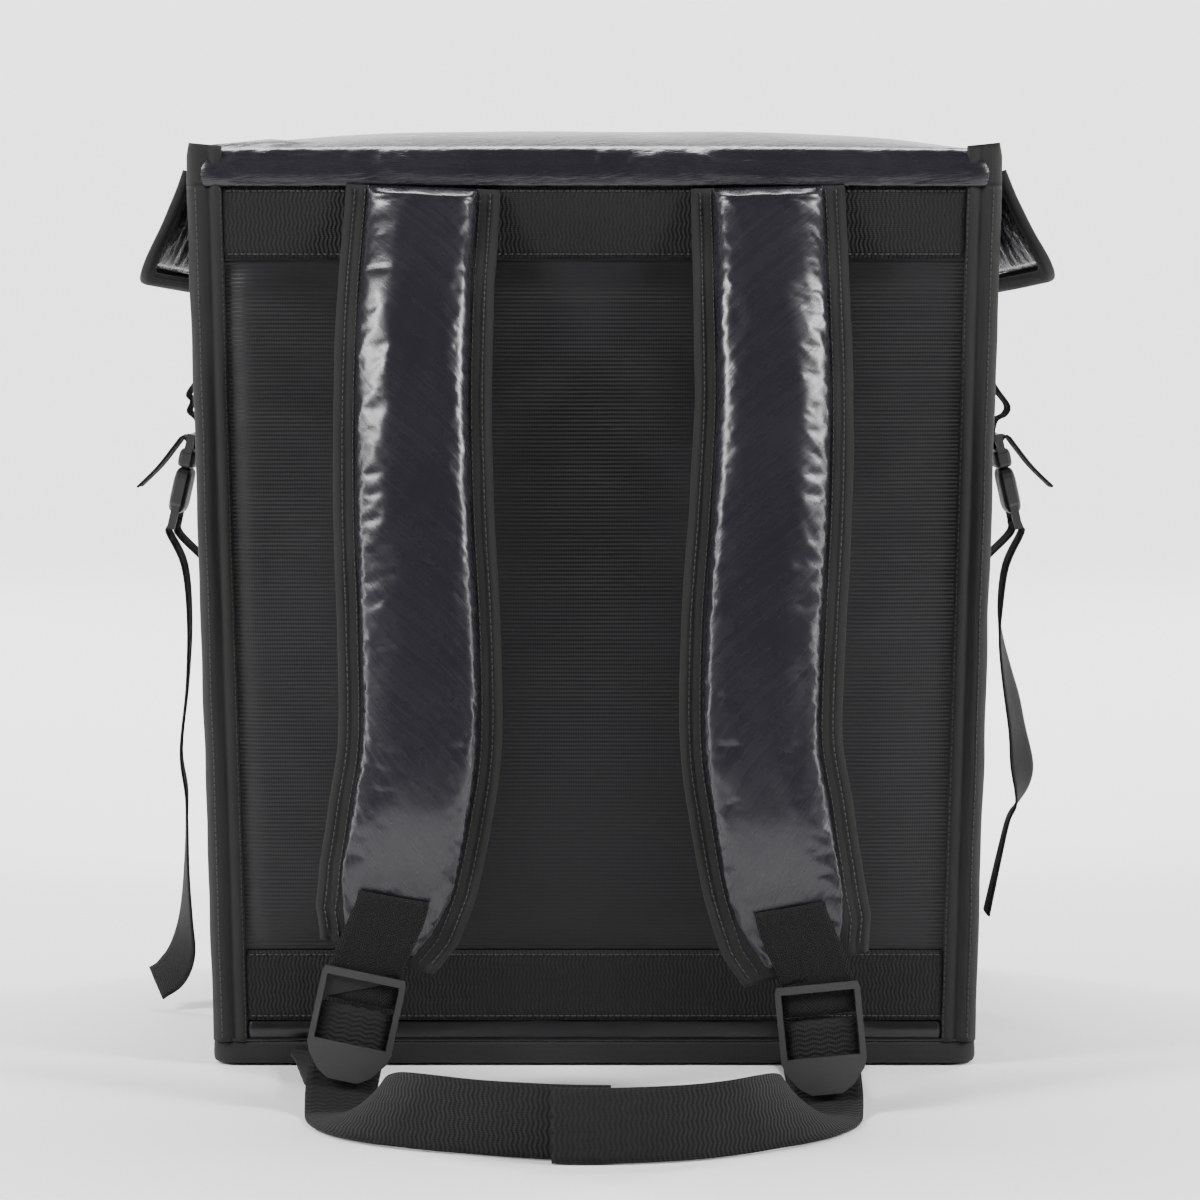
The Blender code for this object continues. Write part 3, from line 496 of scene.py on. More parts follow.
class Finishes:
    """Every finish of the bag, built once."""

    def __init__(self) -> None:
        """Builds the materials."""
        self.ribbed = RibbedCloth().material()
        self.pads = {
            side: GlossCloth(f"pad_cloth_{side.word}", streaks=side.value * 0.95).material()
            for side in Side
        }
        self.gloss = GlossCloth("lid_gloss_cloth", streaks=0.2, crinkle=0.22, depth=0.0009).material()
        self.strip = GlossCloth(
            "strip_gloss_cloth", (0.0030, 0.0030, 0.0036), (0.006, 0.006, 0.007), 0.34, 0.1, 0.15
        ).material()
        self.tape = BindingTape().material()
        self.webbing = WovenWebbing().material()
        self.patch = WovenWebbing(
            "patch_webbing", (0.0022, 0.0022, 0.0022), (0.0105, 0.0105, 0.0102), 0.0018, 0.6, 0.005
        ).material()
        self.narrow = WovenWebbing("narrow_webbing", pitch=0.0016, column=0.0062, lean=0.5).material()
        self.plastic = MouldedPlastic().material()
        self.thread = SewingThread().material()
        self.paper = StudioPaper().material()


def ramp(value: float, low: float, high: float) -> float:
    """A smooth step from 0 at low to 1 at high."""
    share = min(max((value - low) / (high - low), 0.0), 1.0)
    return share * share * (3 - 2 * share)


def ripple(x: float, y: float, z: float, scale: float) -> float:
    """Smooth noise from about -1 to 1 at a place in metres."""
    return noise.noise(Vector((x * scale, y * scale, z * scale)))


def sheet(
    columns: int,
    rows: int,
    place: Place,
    measure: Measure,
    closed: bool = False,
    capped: bool = False,
    outward: Optional[Callable[[Vector], Vector]] = None,
) -> bmesh.types.BMesh:
    """Lays a grid on a surface.

    Args:
        columns: Cells across.
        rows: Cells along.
        place: A point for shares across and along.
        measure: Distances in metres for the same shares, for the weave.
        closed: Whether edges that meet are joined.
        capped: Whether open ends are filled.
        outward: The way out at a point, for a sheet that isn't closed.

    Returns:
        The mesh data.
    """
    data = bmesh.new()
    bmesh.ops.create_grid(data, x_segments=columns, y_segments=rows, size=0.5)
    layer = data.loops.layers.uv.new("UVMap")
    for face in data.faces:
        for loop in face.loops:
            loop[layer].uv = measure(loop.vert.co.x + 0.5, loop.vert.co.y + 0.5)
    for vert in data.verts:
        vert.co = place(vert.co.x + 0.5, vert.co.y + 0.5)
    if closed:
        bmesh.ops.remove_doubles(data, verts=data.verts, dist=2e-6)
    if capped:
        rims = [edge for edge in data.edges if edge.is_boundary]
        bmesh.ops.holes_fill(data, edges=rims, sides=0)
    if closed:
        bmesh.ops.recalc_face_normals(data, faces=data.faces)
    data.normal_update()
    if outward is not None:
        total = sum(
            face.normal.dot(outward(face.calc_center_median())) * face.calc_area()
            for face in data.faces
        )
        if total < 0:
            bmesh.ops.reverse_faces(data, faces=data.faces)
    return data


def add_piece(
    name: str,
    data: bmesh.types.BMesh,
    finish: bpy.types.Material,
    slot: Slot,
    stands_for: Sequence[str] = (),
    smooth: bool = True,
) -> bpy.types.Object:
    """Turns mesh data into a piece that rides on the bag.

    Args:
        name: The piece's name.
        data: Its mesh data, which is freed.
        finish: Its material.
        slot: The record's slot for its finish; not used.
        stands_for: Nodes that it replaces.
        smooth: Whether its faces are shaded smooth.

    Returns:
        The new object.
    """
    mesh = bpy.data.meshes.new(name)
    if smooth:
        for face in data.faces:
            face.smooth = True
    data.to_mesh(mesh)
    data.free()
    mesh.materials.append(finish)
    made = bpy.data.objects.new(name, mesh)
    bpy.context.scene.collection.objects.link(made)
    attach(made, BODY)
    for node in stands_for:
        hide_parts(node)
    LOG.info("%s: %d faces", name, len(mesh.polygons))
    return made


def thicken(piece: bpy.types.Object, thickness: float, offset: float = 0.0) -> None:
    """Gives a sheet its thickness with a live modifier."""
    shell = piece.modifiers.new("thickness", "SOLIDIFY")
    shell.thickness = thickness
    shell.offset = offset
    shell.use_even_offset = False
    shell.use_quality_normals = True


def soften(piece: bpy.types.Object, width: float, segments: int = 2, angle: float = 35.0) -> None:
    """Rounds the sharp edges of a hard piece."""
    edge = piece.modifiers.new("edges", "BEVEL")
    edge.width = width
    edge.segments = segments
    edge.limit_method = "ANGLE"
    edge.angle_limit = math.radians(angle)


@dataclass
class ClothJob:
    """One sheet that the cloth bench swells."""

    piece: bpy.types.Object
    pressure: float
    slack: float
    cap: float
    sink: float = 0.0004
    stiff: float = 0.5


class ClothBench:
    """Runs the cloth simulation of every padded sheet in one pass."""

    FRAMES = 18

    def __init__(self) -> None:
        """Starts with no sheets."""
        self.jobs: list[ClothJob] = []

    def add(self, job: ClothJob, pinned: Callable[[bmesh.types.BMVert], float]) -> None:
        """Prepares a sheet.

        Args:
            job: The sheet and how it swells.
            pinned: How firmly a vertex is held, from 0 to 1.
        """
        piece = job.piece
        group = piece.vertex_groups.new(name="held")
        data = bmesh.new()
        data.from_mesh(piece.data)
        weights = [pinned(vert) for vert in data.verts]
        data.free()
        for index, weight in enumerate(weights):
            if weight > 0:
                group.add([index], weight, "REPLACE")
        cloth = piece.modifiers.new("cloth", "CLOTH")
        how = cloth.settings
        how.quality = 6
        how.mass = 0.25
        how.tension_stiffness = 12.0
        how.compression_stiffness = 12.0
        how.shear_stiffness = 6.0
        how.bending_stiffness = job.stiff
        how.use_pressure = True
        how.uniform_pressure_force = job.pressure
        how.shrink_min = -job.slack
        how.vertex_group_mass = group.name
        how.effector_weights.gravity = 0.0
        cloth.collision_settings.use_collision = False
        cloth.collision_settings.use_self_collision = False
        self.jobs.append(job)

    def run(self) -> None:
        """Steps the simulation once for all sheets and keeps each result."""
        scene = bpy.context.scene
        for step in range(1, self.FRAMES + 1):
            scene.frame_set(step)
        graph = bpy.context.evaluated_depsgraph_get()
        for job in self.jobs:
            self.keep(job, graph)
        scene.frame_set(1)

    @staticmethod
    def keep(job: ClothJob, graph: bpy.types.Depsgraph) -> None:
        """Writes one sheet's swollen shape into its mesh."""
        ready = job.piece.evaluated_get(graph).data
        mesh = job.piece.data
        normals = [vert.normal.copy() for vert in mesh.vertices]
        for vert, swollen, out in zip(mesh.vertices, ready.vertices, normals):
            move = swollen.co - vert.co
            proud = move.dot(out)
            if proud < -job.sink:
                move += out * (-job.sink - proud)
            if move.length > job.cap:
                move *= job.cap / move.length
            vert.co = vert.co + move
        job.piece.modifiers.remove(job.piece.modifiers["cloth"])
        mesh.update()


class Run:
    """A smooth path with a width direction at each point."""

    def __init__(self, points: Sequence[Vector], across: Sequence[Vector], steps: int = 6) -> None:
        """Samples a Catmull-Rom curve through the points."""
        self.points: list[Vector] = []
        self.across: list[Vector] = []
        last = len(points) - 1
        for i in range(last):
            four = [max(i - 1, 0), i, i + 1, min(i + 2, last)]
            for k in range(steps):
                share = k / steps
                self.points.append(self.between([points[j] for j in four], share))
                self.across.append(self.between([across[j] for j in four], share))
        self.points.append(points[last].copy())
        self.across.append(across[last].copy())
        self.reach = [0.0]
        for before, after in zip(self.points, self.points[1:]):
            self.reach.append(self.reach[-1] + (after - before).length)
        self.length = self.reach[-1]

    @staticmethod
    def between(four: Sequence[Vector], share: float) -> Vector:
        """A Catmull-Rom point between the middle two of four."""
        a, b, c, d = four
        square = share * share
        cube = square * share
        return 0.5 * (
            2 * b + (c - a) * share + (2 * a - 5 * b + 4 * c - d) * square + (3 * b - a - 3 * c + d) * cube
        )

    def at(self, share: float) -> tuple[Vector, Vector, Vector]:
        """The point, width direction and normal at a share of the length."""
        goal = min(max(share, 0.0), 1.0) * self.length
        low = 0
        high = len(self.reach) - 1
        while high - low > 1:
            middle = (low + high) // 2
            if self.reach[middle] <= goal:
                low = middle
            else:
                high = middle
        part = (goal - self.reach[low]) / max(self.reach[high] - self.reach[low], 1e-9)
        point = self.points[low].lerp(self.points[high], part)
        across = self.across[low].lerp(self.across[high], part)
        before = max(low - 1, 0)
        after = min(high + 1, len(self.points) - 1)
        along_low = (self.points[high] - self.points[before]).normalized()
        along_high = (self.points[after] - self.points[low]).normalized()
        along = along_low.lerp(along_high, part).normalized()
        across = (across - along * across.dot(along)).normalized()
        return point, across, along.cross(across)


def keep_above_floor(line: Run, sizes: Sizes) -> None:
    """Lifts a webbing's path so that neither edge reaches the floor."""
    axes = [line.at(reach / line.length) for reach in line.reach]
    for point, (_, across, normal) in zip(line.points, axes):
        reach = sizes.webbing_width / 2 * abs(across.z)
        reach += sizes.webbing_thickness / 2 * abs(normal.z)
        point.z = max(point.z, reach + sizes.floor_gap)


class BoxOutline:
    """The bag's rounded rectangle at any height, with its swollen walls."""

    def __init__(self, sizes: Sizes) -> None:
        """Shares out the way round the box among its walls and corners."""
        self.sizes = sizes
        wide = sizes.top_width - 2 * sizes.corner_radius
        deep = sizes.bag_depth - 2 * sizes.corner_radius
        arc = math.pi / 2 * sizes.corner_radius
        self.total = 2 * (wide + deep) + 4 * arc
        self.stops = [arc, arc + wide, 2 * arc + wide, 2 * arc + wide + deep]
        self.stops += [3 * arc + wide + deep, 3 * arc + 2 * wide + deep]
        self.stops += [4 * arc + 2 * wide + deep, self.total]

    def half_width(self, z: float) -> float:
        """Half of the box's width at a height."""
        size = self.sizes
        share = min(z / size.bag_height, 1.0)
        return (size.bottom_width + (size.top_width - size.bottom_width) * share) / 2

    def swelling(self, z: float) -> float:
        """How far the walls swell at a height, from 0 to 1."""
        size = self.sizes
        share = (z / size.bag_height - size.flat_base) / (1 - size.flat_base)
        return max(math.sin(math.pi * min(max(share, 0.0), 1.0)), 0.0) ** 0.8

    def locate(self, share: float) -> tuple[int, float]:
        """The stretch that a share of the way round lies on, and how far along it."""
        goal = (share % 1.0) * self.total
        before = 0.0
        for index, stop in enumerate(self.stops):
            if goal <= stop:
                return index, (goal - before) / (stop - before)
            before = stop
        return len(self.stops) - 1, 1.0

    def point(self, share: float, z: float, inset: float = 0.0) -> tuple[Vector, Vector]:
        """A point of the outline and its way out.

        Args:
            share: Share of the way round, from the back's left corner.
            z: Height.
            inset: How far the outline is moved in.

        Returns:
            The point and the outward direction.
        """
        size = self.sizes
        stretch, part = self.locate(share)
        half_w = self.half_width(z) - inset
        half_d = size.bag_depth / 2 - inset
        radius = max(size.corner_radius - inset, 0.0015)
        corners = ((-1, -1), (1, -1), (1, 1), (-1, 1))
        outs = ((0, -1), (1, 0), (0, 1), (-1, 0))
        bulges = (0.0, size.side_bulge, size.front_bulge, size.side_bulge)
        corner = corners[stretch // 2]
        centre = Vector((corner[0] * (half_w - radius), corner[1] * (half_d - radius), z))
        out = Vector((*outs[stretch // 2], 0))
        if stretch % 2 == 0:
            turn = math.atan2(out.y, out.x) - math.pi / 2 * (1 - part)
            way = Vector((math.cos(turn), math.sin(turn), 0))
            return centre + way * radius, way
        following = corners[(stretch // 2 + 1) % 4]
        end = Vector((following[0] * (half_w - radius), following[1] * (half_d - radius), z))
        rise = min(max((part - size.flat_run) / (1 - 2 * size.flat_run), 0.0), 1.0)
        push = bulges[stretch // 2] * self.swelling(z) * math.sin(math.pi * rise)
        return centre.lerp(end, part) + out * (radius + push), out


OUTLINE = BoxOutline(SIZES)


@dataclass
class Stitching:
    """Rows of small stitches, kept in one piece."""

    name: str
    pitch: float = 0.0034
    length: float = 0.0025
    girth: float = 0.00038
    data: bmesh.types.BMesh = field(default_factory=bmesh.new)
    count: int = 0

    def row(self, place: Place, start: tuple[float, float], end: tuple[float, float], lift: float) -> None:
        """Adds a row of stitches.

        Args:
            place: The surface that is sewn.
            start: Shares across and along where the row begins.
            end: Shares where it ends.
            lift: How far the stitches stand proud.
        """
        samples = 60
        path = []
        for i in range(samples + 1):
            part = i / samples
            a = start[0] + (end[0] - start[0]) * part
            t = start[1] + (end[1] - start[1]) * part
            here = place(a, t)
            side_a = place(a + 0.002, t) - place(a - 0.002, t)
            side_t = place(a, t + 0.002) - place(a, t - 0.002)
            path.append((here, side_a.cross(side_t).normalized()))
        self.along(path, lift)

    def along(self, path: Sequence[tuple[Vector, Vector]], lift: float) -> None:
        """Adds stitches along points with normals."""
        left = self.pitch / 2
        for (here, normal), (there, _) in zip(path, path[1:]):
            span = (there - here).length
            while left < span:
                way = (there - here).normalized()
                self.stitch(here + way * left + normal * lift, way, normal)
                left += self.pitch
            left -= span

    def stitch(self, middle: Vector, way: Vector, normal: Vector) -> None:
        """Adds one stitch."""
        made = bmesh.ops.create_cube(self.data, size=1.0)["verts"]
        side = way.cross(normal).normalized()
        for vert in made:
            x, y, z = vert.co
            vert.co = middle + way * x * self.length + side * y * self.girth * 1.6
            vert.co += normal * z * self.girth
        self.count += 1

    def finish(self, paint: bpy.types.Material, slot: Slot) -> None:
        """Makes the piece."""
        bmesh.ops.recalc_face_normals(self.data, faces=self.data.faces)
        add_piece(self.name, self.data, paint, slot)


@dataclass
class PaddedBox:
    """The soft box with its ribbed walls."""

    sizes: Sizes = SIZES
    columns: int = 300
    rows: int = 110
    back_puff: float = 0.0034

    def wall_height(self, share: float) -> tuple[float, float]:
        """Height and inset of a row of the wall."""
        turn = 0.025
        size = self.sizes
        if share < turn:
            angle = math.pi / 2 * share / turn
            return size.edge_radius * (1 - math.cos(angle)), size.edge_radius * (1 - math.sin(angle))
        low = size.edge_radius
        return low + (size.bag_height - low) * (share - turn) / (1 - turn), 0.0

    def padding(self, point: Vector, out: Vector, z: float) -> float:
        """How far the wall stands proud of the plain box at a point."""
        size = self.sizes
        swell = 0.0
        if out.y < -0.99:
            edge = OUTLINE.half_width(z) - size.tape_face
            side = ramp(edge + point.x, 0.0, 0.011) * ramp(edge - point.x, 0.0, 0.045)
            low = size.lower_band + size.band_height
            level = ramp(z, low, low + 0.014) * (1 - ramp(z, size.upper_band - 0.014, size.upper_band))
            swell = self.back_puff * side * level
            swell += 0.0013 * side * level * ripple(point.x, 3.0, z * 0.35, 13.0)
            swell += 0.0006 * side * level * ripple(point.x, 5.0, z, 38.0)
            return swell
        if abs(out.x) > 0.9 or out.y > 0.9:
            level = ramp(z, 0.014, 0.05) * (1 - ramp(z, size.bag_height - 0.05, size.bag_height))
            edge = min(size.bag_depth / 2 - abs(point.y), 0.03) if abs(out.x) > 0.9 else 0.03
            side = ramp(edge, 0.012, 0.03)
            swell = 0.0016 * level * side * ripple(point.x, point.y * 1.4, z * 0.8, 16.0)
            swell += 0.0007 * level * side * ripple(point.x + 4, point.y, z, 42.0)
        return swell

    def place(self, a: float, t: float) -> Vector:
        """A point of the wall."""
        z, inset = self.wall_height(t)
        point, out = OUTLINE.point(a, z, inset)
        return point + out * self.padding(point, out, z)

    def measure(self, a: float, t: float) -> tuple[float, float]:
        """Distances round and up the wall."""
        return a * OUTLINE.total, self.wall_height(t)[0]

    def build(self, finishes: Finishes) -> None:
        """Makes the box, open at the top and with its wall thickness."""
        data = sheet(self.columns, self.rows, self.place, self.measure, closed=True)
        rim = [
            edge
            for edge in data.edges
            if edge.is_boundary and max(v.co.z for v in edge.verts) < 0.01
        ]
        bmesh.ops.holes_fill(data, edges=rim, sides=0)
        bmesh.ops.recalc_face_normals(data, faces=data.faces)
        data.normal_update()
        floor = min(data.faces, key=lambda face: face.calc_center_median().z)
        if floor.normal.z > 0:
            bmesh.ops.reverse_faces(data, faces=data.faces)
        piece = add_piece("box_cloth", data, finishes.ribbed, Slot.CLOTH, ["body_shell"])
        thicken(piece, self.sizes.wall, -1.0)


@dataclass
class BackTrim:
    """Webbing bands and the smooth strip low on the back."""

    sizes: Sizes = SIZES

    def band_place(self, low: float) -> Place:
        """The surface of one band."""
        size = self.sizes
        level = -size.bag_depth / 2 - size.gap - size.band_thickness

        def place(a: float, t: float) -> Vector:
            """A point of the band."""
            z = low + size.band_height * a
            reach = OUTLINE.half_width(z) - size.tape_face - size.gap
            x = -reach + 2 * reach * t
            bow = 0.0004 * ripple(x, 1.0, z, 30.0)
            edge = 0.0004 * (1 - ramp(min(a, 1 - a), 0.0, 0.05))
            return Vector((x, level + bow + edge, z))

        return place

    def build(self, finishes: Finishes, stitches: Stitching) -> None:
        """Makes the bands and the strip."""
        size = self.sizes
        length = size.top_width
        for name, low in (("upper", size.upper_band), ("lower", size.lower_band)):
            place = self.band_place(low)
            data = sheet(
                10,
                160,
                place,
                lambda a, t: (a * size.band_height, t * length),
                outward=lambda p: Vector((0, -1, 0)),
            )
            piece = add_piece(
                f"back_webbing_{name}", data, finishes.webbing, Slot.WEBBING, [f"back_band_{name}"]
            )
            thicken(piece, size.band_thickness, -1.0)
            for a in (0.06, 0.94):
                stitches.row(place, (a, 0.004), (a, 0.996), -0.0001)
        self.strip(finishes)

    def strip(self, finishes: Finishes) -> None:
        """Makes the smooth strip below the lower band."""
        size = self.sizes
        low = size.base_height + 0.0006
        high = size.lower_band - 0.0004
        level = -size.bag_depth / 2 - 0.0011

        def place(a: float, t: float) -> Vector:
            """A point of the strip."""
            z = low + (high - low) * a
            reach = OUTLINE.half_width(z) - size.tape_face - size.gap
            x = -reach + 2 * reach * t
            puff = (0.0003 + 0.0012 * ramp(abs(x), 0.12, 0.17)) * math.sin(math.pi * a)
            puff += 0.0004 * ripple(x, 2.0, z, 55.0)
            return Vector((x, level - puff, z))

        data = sheet(
            8,
            160,
            place,
            lambda a, t: (a * (high - low), t * size.top_width),
            outward=lambda p: Vector((0, -1, 0)),
        )
        piece = add_piece("base_strip_back", data, finishes.strip, Slot.GLOSS)
        thicken(piece, 0.0008, -1.0)


@dataclass
class BoundEdges:
    """Two-ridged tapes on the upright edges and the binding round the base."""

    sizes: Sizes = SIZES

    def profile(self) -> list[tuple[float, float]]:
        """Section of the tape round a corner at 0, 0, from the face to the side."""
        size = self.sizes
        out = -size.gap - size.tape_thickness
        ridge = size.tape_ridge
        face = size.tape_face
        return [
            (face, -size.gap),
            (face * 0.99, out * 0.60),
            (face * 0.90, out - ridge * 0.55),
            (face * 0.74, out - ridge * 0.70),
            (face * 0.62, out * 0.86),
            (face * 0.55, out * 0.72),
            (face * 0.48, out * 0.90),
            (face * 0.34, out - ridge * 0.90),
            (face * 0.16, out - ridge * 0.80),
            (face * 0.02, out * 0.78),
            (out * 0.66, face * 0.05),
            (out * 0.96, face * 0.22),
            (out * 1.02, face * 0.45),
            (out * 0.92, face * 0.66),
            (out * 0.55, size.tape_side),
            (-size.gap, size.tape_side),
            (-size.gap, size.corner_radius),
            (size.corner_radius * 0.30, size.corner_radius * 0.30),
            (size.corner_radius, -size.gap),
        ]

    def section(self) -> Run:
        """The closed section as a smooth path."""
        corners = self.profile()
        corners.append(corners[0])
        points = [Vector((u, v, 0)) for u, v in corners]
        return Run(points, [UP] * len(points), 4)

    def upright(
        self, side: Side, face: int, low: float, high: float, crown: bool
    ) -> tuple[bmesh.types.BMesh, Place]:
        """Mesh data of one tape and its surface."""
        size = self.sizes
        section = self.section()
        seed = side.value * 3.0 + face * 7.0

        def place(a: float, t: float) -> Vector:
            """A point of the tape."""
            z = low + (high - low) * t
            u, v, _ = section.at(a)[0]
            if crown:
                pull = 1 - 0.45 * ramp(t, 0.75, 1.0)
                u = u if u > 0 else u * pull
                v = v if v > -size.gap else -size.gap + (v + size.gap) * pull
                z += 0.0022 * ramp(t, 0.7, 1.0) * (1 - abs(2 * a / 0.8 - 1) if a < 0.8 else 0)
            proud = 1.0 + 0.16 * ripple(seed, a * 0.02, z, 34.0)
            if u < -size.gap:
                u *= proud
            if v < -size.gap:
                v *= proud
            corner_x = OUTLINE.half_width(min(z, size.bag_height))
            sway = 0.0005 * ripple(seed, 2.0, z, 22.0) if u < 0.5 * size.tape_face else 0.0
            return Vector(
                (side.value * (corner_x - u + sway), face * (size.bag_depth / 2 - v), z)
            )

        rows = max(int((high - low) / 0.003), 8)
        data = sheet(
            64,
            rows,
            place,
            lambda a, t: (a * section.length, t * (high - low)),
            closed=True,
            capped=True,
        )
        return data, place

    def build(self, finishes: Finishes, stitches: Stitching) -> None:
        """Makes all tapes."""
        size = self.sizes
        low = size.base_height + size.gap
        top = size.bag_height - size.gap
        lid_low = size.bag_height - 0.0002
        lid_top = size.bag_height + size.gusset + 0.0010
        for side in Side:
            for face, word in ((-1, "back"), (1, "front")):
                node = f"edge_tape_{word}_{side.word}"
                data, place = self.upright(side, face, low, top, False)
                add_piece(f"upright_{node}", data, finishes.tape, Slot.TAPE, [node])
                for a in (0.045, 0.262):
                    stitches.row(place, (a, 0.004), (a, 0.996), 0.0001)
                node = f"lid_corner_tape_{word}_{side.word}"
                data, _ = self.upright(side, face, lid_low, lid_top, True)
                add_piece(f"soft_{node}", data, finishes.tape, Slot.TAPE, [node])
        self.base(finishes, stitches)

    def base(self, finishes: Finishes, stitches: Stitching) -> None:
        """Makes the binding round the base and the fine piping above it."""
        size = self.sizes
        far = size.base_thickness + size.gap
        top = size.base_height
        rim = [
            (size.gap, 0.0046),
            (far * 0.30, 0.0020),
            (far * 0.75, 0.0013),
            (far * 1.02, 0.0034),
            (far * 1.04, 0.0064),
            (far * 0.98, 0.0096),
            (far * 0.82, top * 0.97),
            (far * 0.40, top),
            (size.gap, top * 0.97),
            (size.gap, 0.0046),
        ]
        points = [Vector((u, v, 0)) for u, v in rim]
        section = Run(points, [UP] * len(points), 4)

        def place(a: float, t: float) -> Vector:
            """A point of the base binding."""
            out, z, _ = section.at(a)[0]
            point, way = OUTLINE.point(t, z, 0.0)
            wave = 1.0 + 0.12 * ripple(point.x, point.y, 1.0, 40.0)
            return point + way * max(out * wave, size.gap)

        data = sheet(
            28, 520, place, lambda a, t: (a * section.length, t * OUTLINE.total), closed=True
        )
        nodes = [f"base_binding_{word}" for word in ("back", "front", "left", "right")]
        add_piece("base_binding_tape", data, finishes.tape, Slot.TAPE, nodes)

        def piping(a: float, t: float) -> Vector:
            """A point of the fine piping."""
            angle = 2 * math.pi * a
            z = top + 0.0012 + 0.0010 * math.sin(angle)
            point, way = OUTLINE.point(t, z, 0.0)
            return point + way * (0.0018 + 0.0010 * math.cos(angle))

        data = sheet(
            10, 520, piping, lambda a, t: (a * 0.0063, t * OUTLINE.total), closed=True
        )
        add_piece("base_piping", data, finishes.strip, Slot.GLOSS)
        stitches.row(place, (0.62, 0.0), (0.62, 1.0), 0.0001)


@dataclass
class Lid:
    """Domed padded top with its gathered gusset."""

    sizes: Sizes = SIZES
    columns: int = 460
    gusset_rows: int = 14
    top_rows: int = 24
    overhang: float = 0.0012

    def height(self, x: float, y: float) -> float:
        """Height of the domed top."""
        size = self.sizes
        across = 1 - min(abs(x) / (size.top_width / 2), 1) ** size.lid_fullness
        along = 1 - min(abs(y) / (size.bag_depth / 2), 1) ** size.lid_fullness
        return size.bag_height + size.gusset + size.lid_dome * across * along

    def place(self, a: float, t: float) -> Vector:
        """A point of the cover, from its lower rim over the edge to the middle."""
        size = self.sizes
        turn = self.gusset_rows / (self.gusset_rows + self.top_rows)
        if t <= turn:
            rise = t / turn
            edge, out = OUTLINE.point(a, size.bag_height)
            worn = ramp(-out.y, 0.5, 1.0)
            low = size.bag_height + size.gap - self.overhang * worn
            top = size.bag_height + size.gusset - 0.0022
            point = edge.copy()
            point.z = low + (top - low) * rise
            round_off = 0.0010 * (1 - ramp(rise, 0.80, 1.0))
            arch = max(math.sin(math.pi * min(rise + 0.16, 1.0)), 0.0) ** 0.7
            puff = round_off + (0.0030 * worn + 0.0006) * arch
            return point + out * (puff + self.wrinkle(point, rise) * worn)
        inward = (t - turn) / (1 - turn)
        inset = 0.0012 + 0.150 * inward**1.35
        drop = 0.0008 * (1 - ramp(inset, 0.0, 0.004))
        point, _ = OUTLINE.point(a, size.bag_height, inset)
        sag = 0.0007 * ripple(point.x, point.y, 3.0, 17.0) * ramp(inset, 0.01, 0.04)
        point.z = self.height(point.x, point.y) - drop + sag
        return point

    def wrinkle(self, point: Vector, rise: float) -> float:
        """Folds of the gusset, strongest towards the right end and the seam."""
        strong = 0.25 + 0.75 * ramp(point.x, -0.01, 0.12)
        seam = 1 - ramp(rise, 0.25, 0.95)
        tall = ripple(point.x, 0.3, point.z * 0.30, 62.0)
        leaning = ripple(point.x + point.z * 0.7, 4.0, point.z * 0.8, 95.0)
        short = ripple(point.x, 8.0, point.z, 170.0)
        folds = (1 - abs(tall) * 2.2) * 0.5 + (1 - abs(leaning) * 2.4) * 0.35 + short * 0.3
        broad = 0.0009 * ripple(point.x, 1.0, point.z * 0.6, 30.0) * strong
        return (0.0011 * folds * seam + 0.0004 * folds) * strong + broad

    def measure(self, a: float, t: float) -> tuple[float, float]:
        """Distances round and inwards."""
        return a * OUTLINE.total, t * (self.sizes.gusset + 0.15)

    def build(self, finishes: Finishes, bench: ClothBench) -> bpy.types.Object:
        """Makes the cover and hands it to the cloth bench."""
        size = self.sizes
        rows = self.gusset_rows + self.top_rows
        data = sheet(self.columns, rows, self.place, self.measure, closed=True)
        rim = [
            edge
            for edge in data.edges
            if edge.is_boundary and min(v.co.z for v in edge.verts) > size.bag_height + 0.01
        ]
        bmesh.ops.holes_fill(data, edges=rim, sides=0)
        bmesh.ops.recalc_face_normals(data, faces=data.faces)
        data.normal_update()
        crown = max(data.faces, key=lambda face: face.calc_center_median().z)
        if crown.normal.z < 0:
            bmesh.ops.reverse_faces(data, faces=data.faces)
        piece = add_piece("lid_cover", data, finishes.gloss, Slot.GLOSS, ["lid"])
        low = size.bag_height + size.gap
        edge = size.bag_height + size.gusset - 0.0030

        def held(vert: bmesh.types.BMVert) -> float:
            """Holds the seam, the upper edge and the corners."""
            x, y, z = vert.co
            if z < low + 0.0008:
                return 1.0
            half_w = size.top_width / 2
            half_d = size.bag_depth / 2
            inset = min(half_w - abs(x), half_d - abs(y))
            if inset < 0.0030 and z > edge:
                return 1.0
            if half_w - abs(x) < 0.012 and half_d - abs(y) < 0.012:
                return 1.0
            return 0.0

        bench.add(ClothJob(piece, 0.8, 0.03, 0.0020, stiff=0.1), held)
        return piece

    def close(self, piece: bpy.types.Object) -> None:
        """Gives the swollen cover its wall."""
        thicken(piece, 0.0060, -1.0)


@dataclass(frozen=True)
class Hanging:
    """Where a bound panel hangs from the lid's edge."""

    seam: Vector
    along: Vector
    outward: Vector
    length: float
    hang: float
    flare_start: float
    flare_end: float

    def point(self, run: float, drop: float, lift: float = 0.0) -> Vector:
        """A point of the panel, lift proud of its middle surface."""
        share = run / self.length
        flare = self.flare_start + (self.flare_end - self.flare_start) * share
        curve = flare * (0.85 + 0.3 * drop / self.hang)
        down = -UP * math.cos(curve) + self.outward * math.sin(curve)
        proud = UP * math.sin(curve) + self.outward * math.cos(curve)
        return self.seam + self.along * run + down * drop + proud * lift


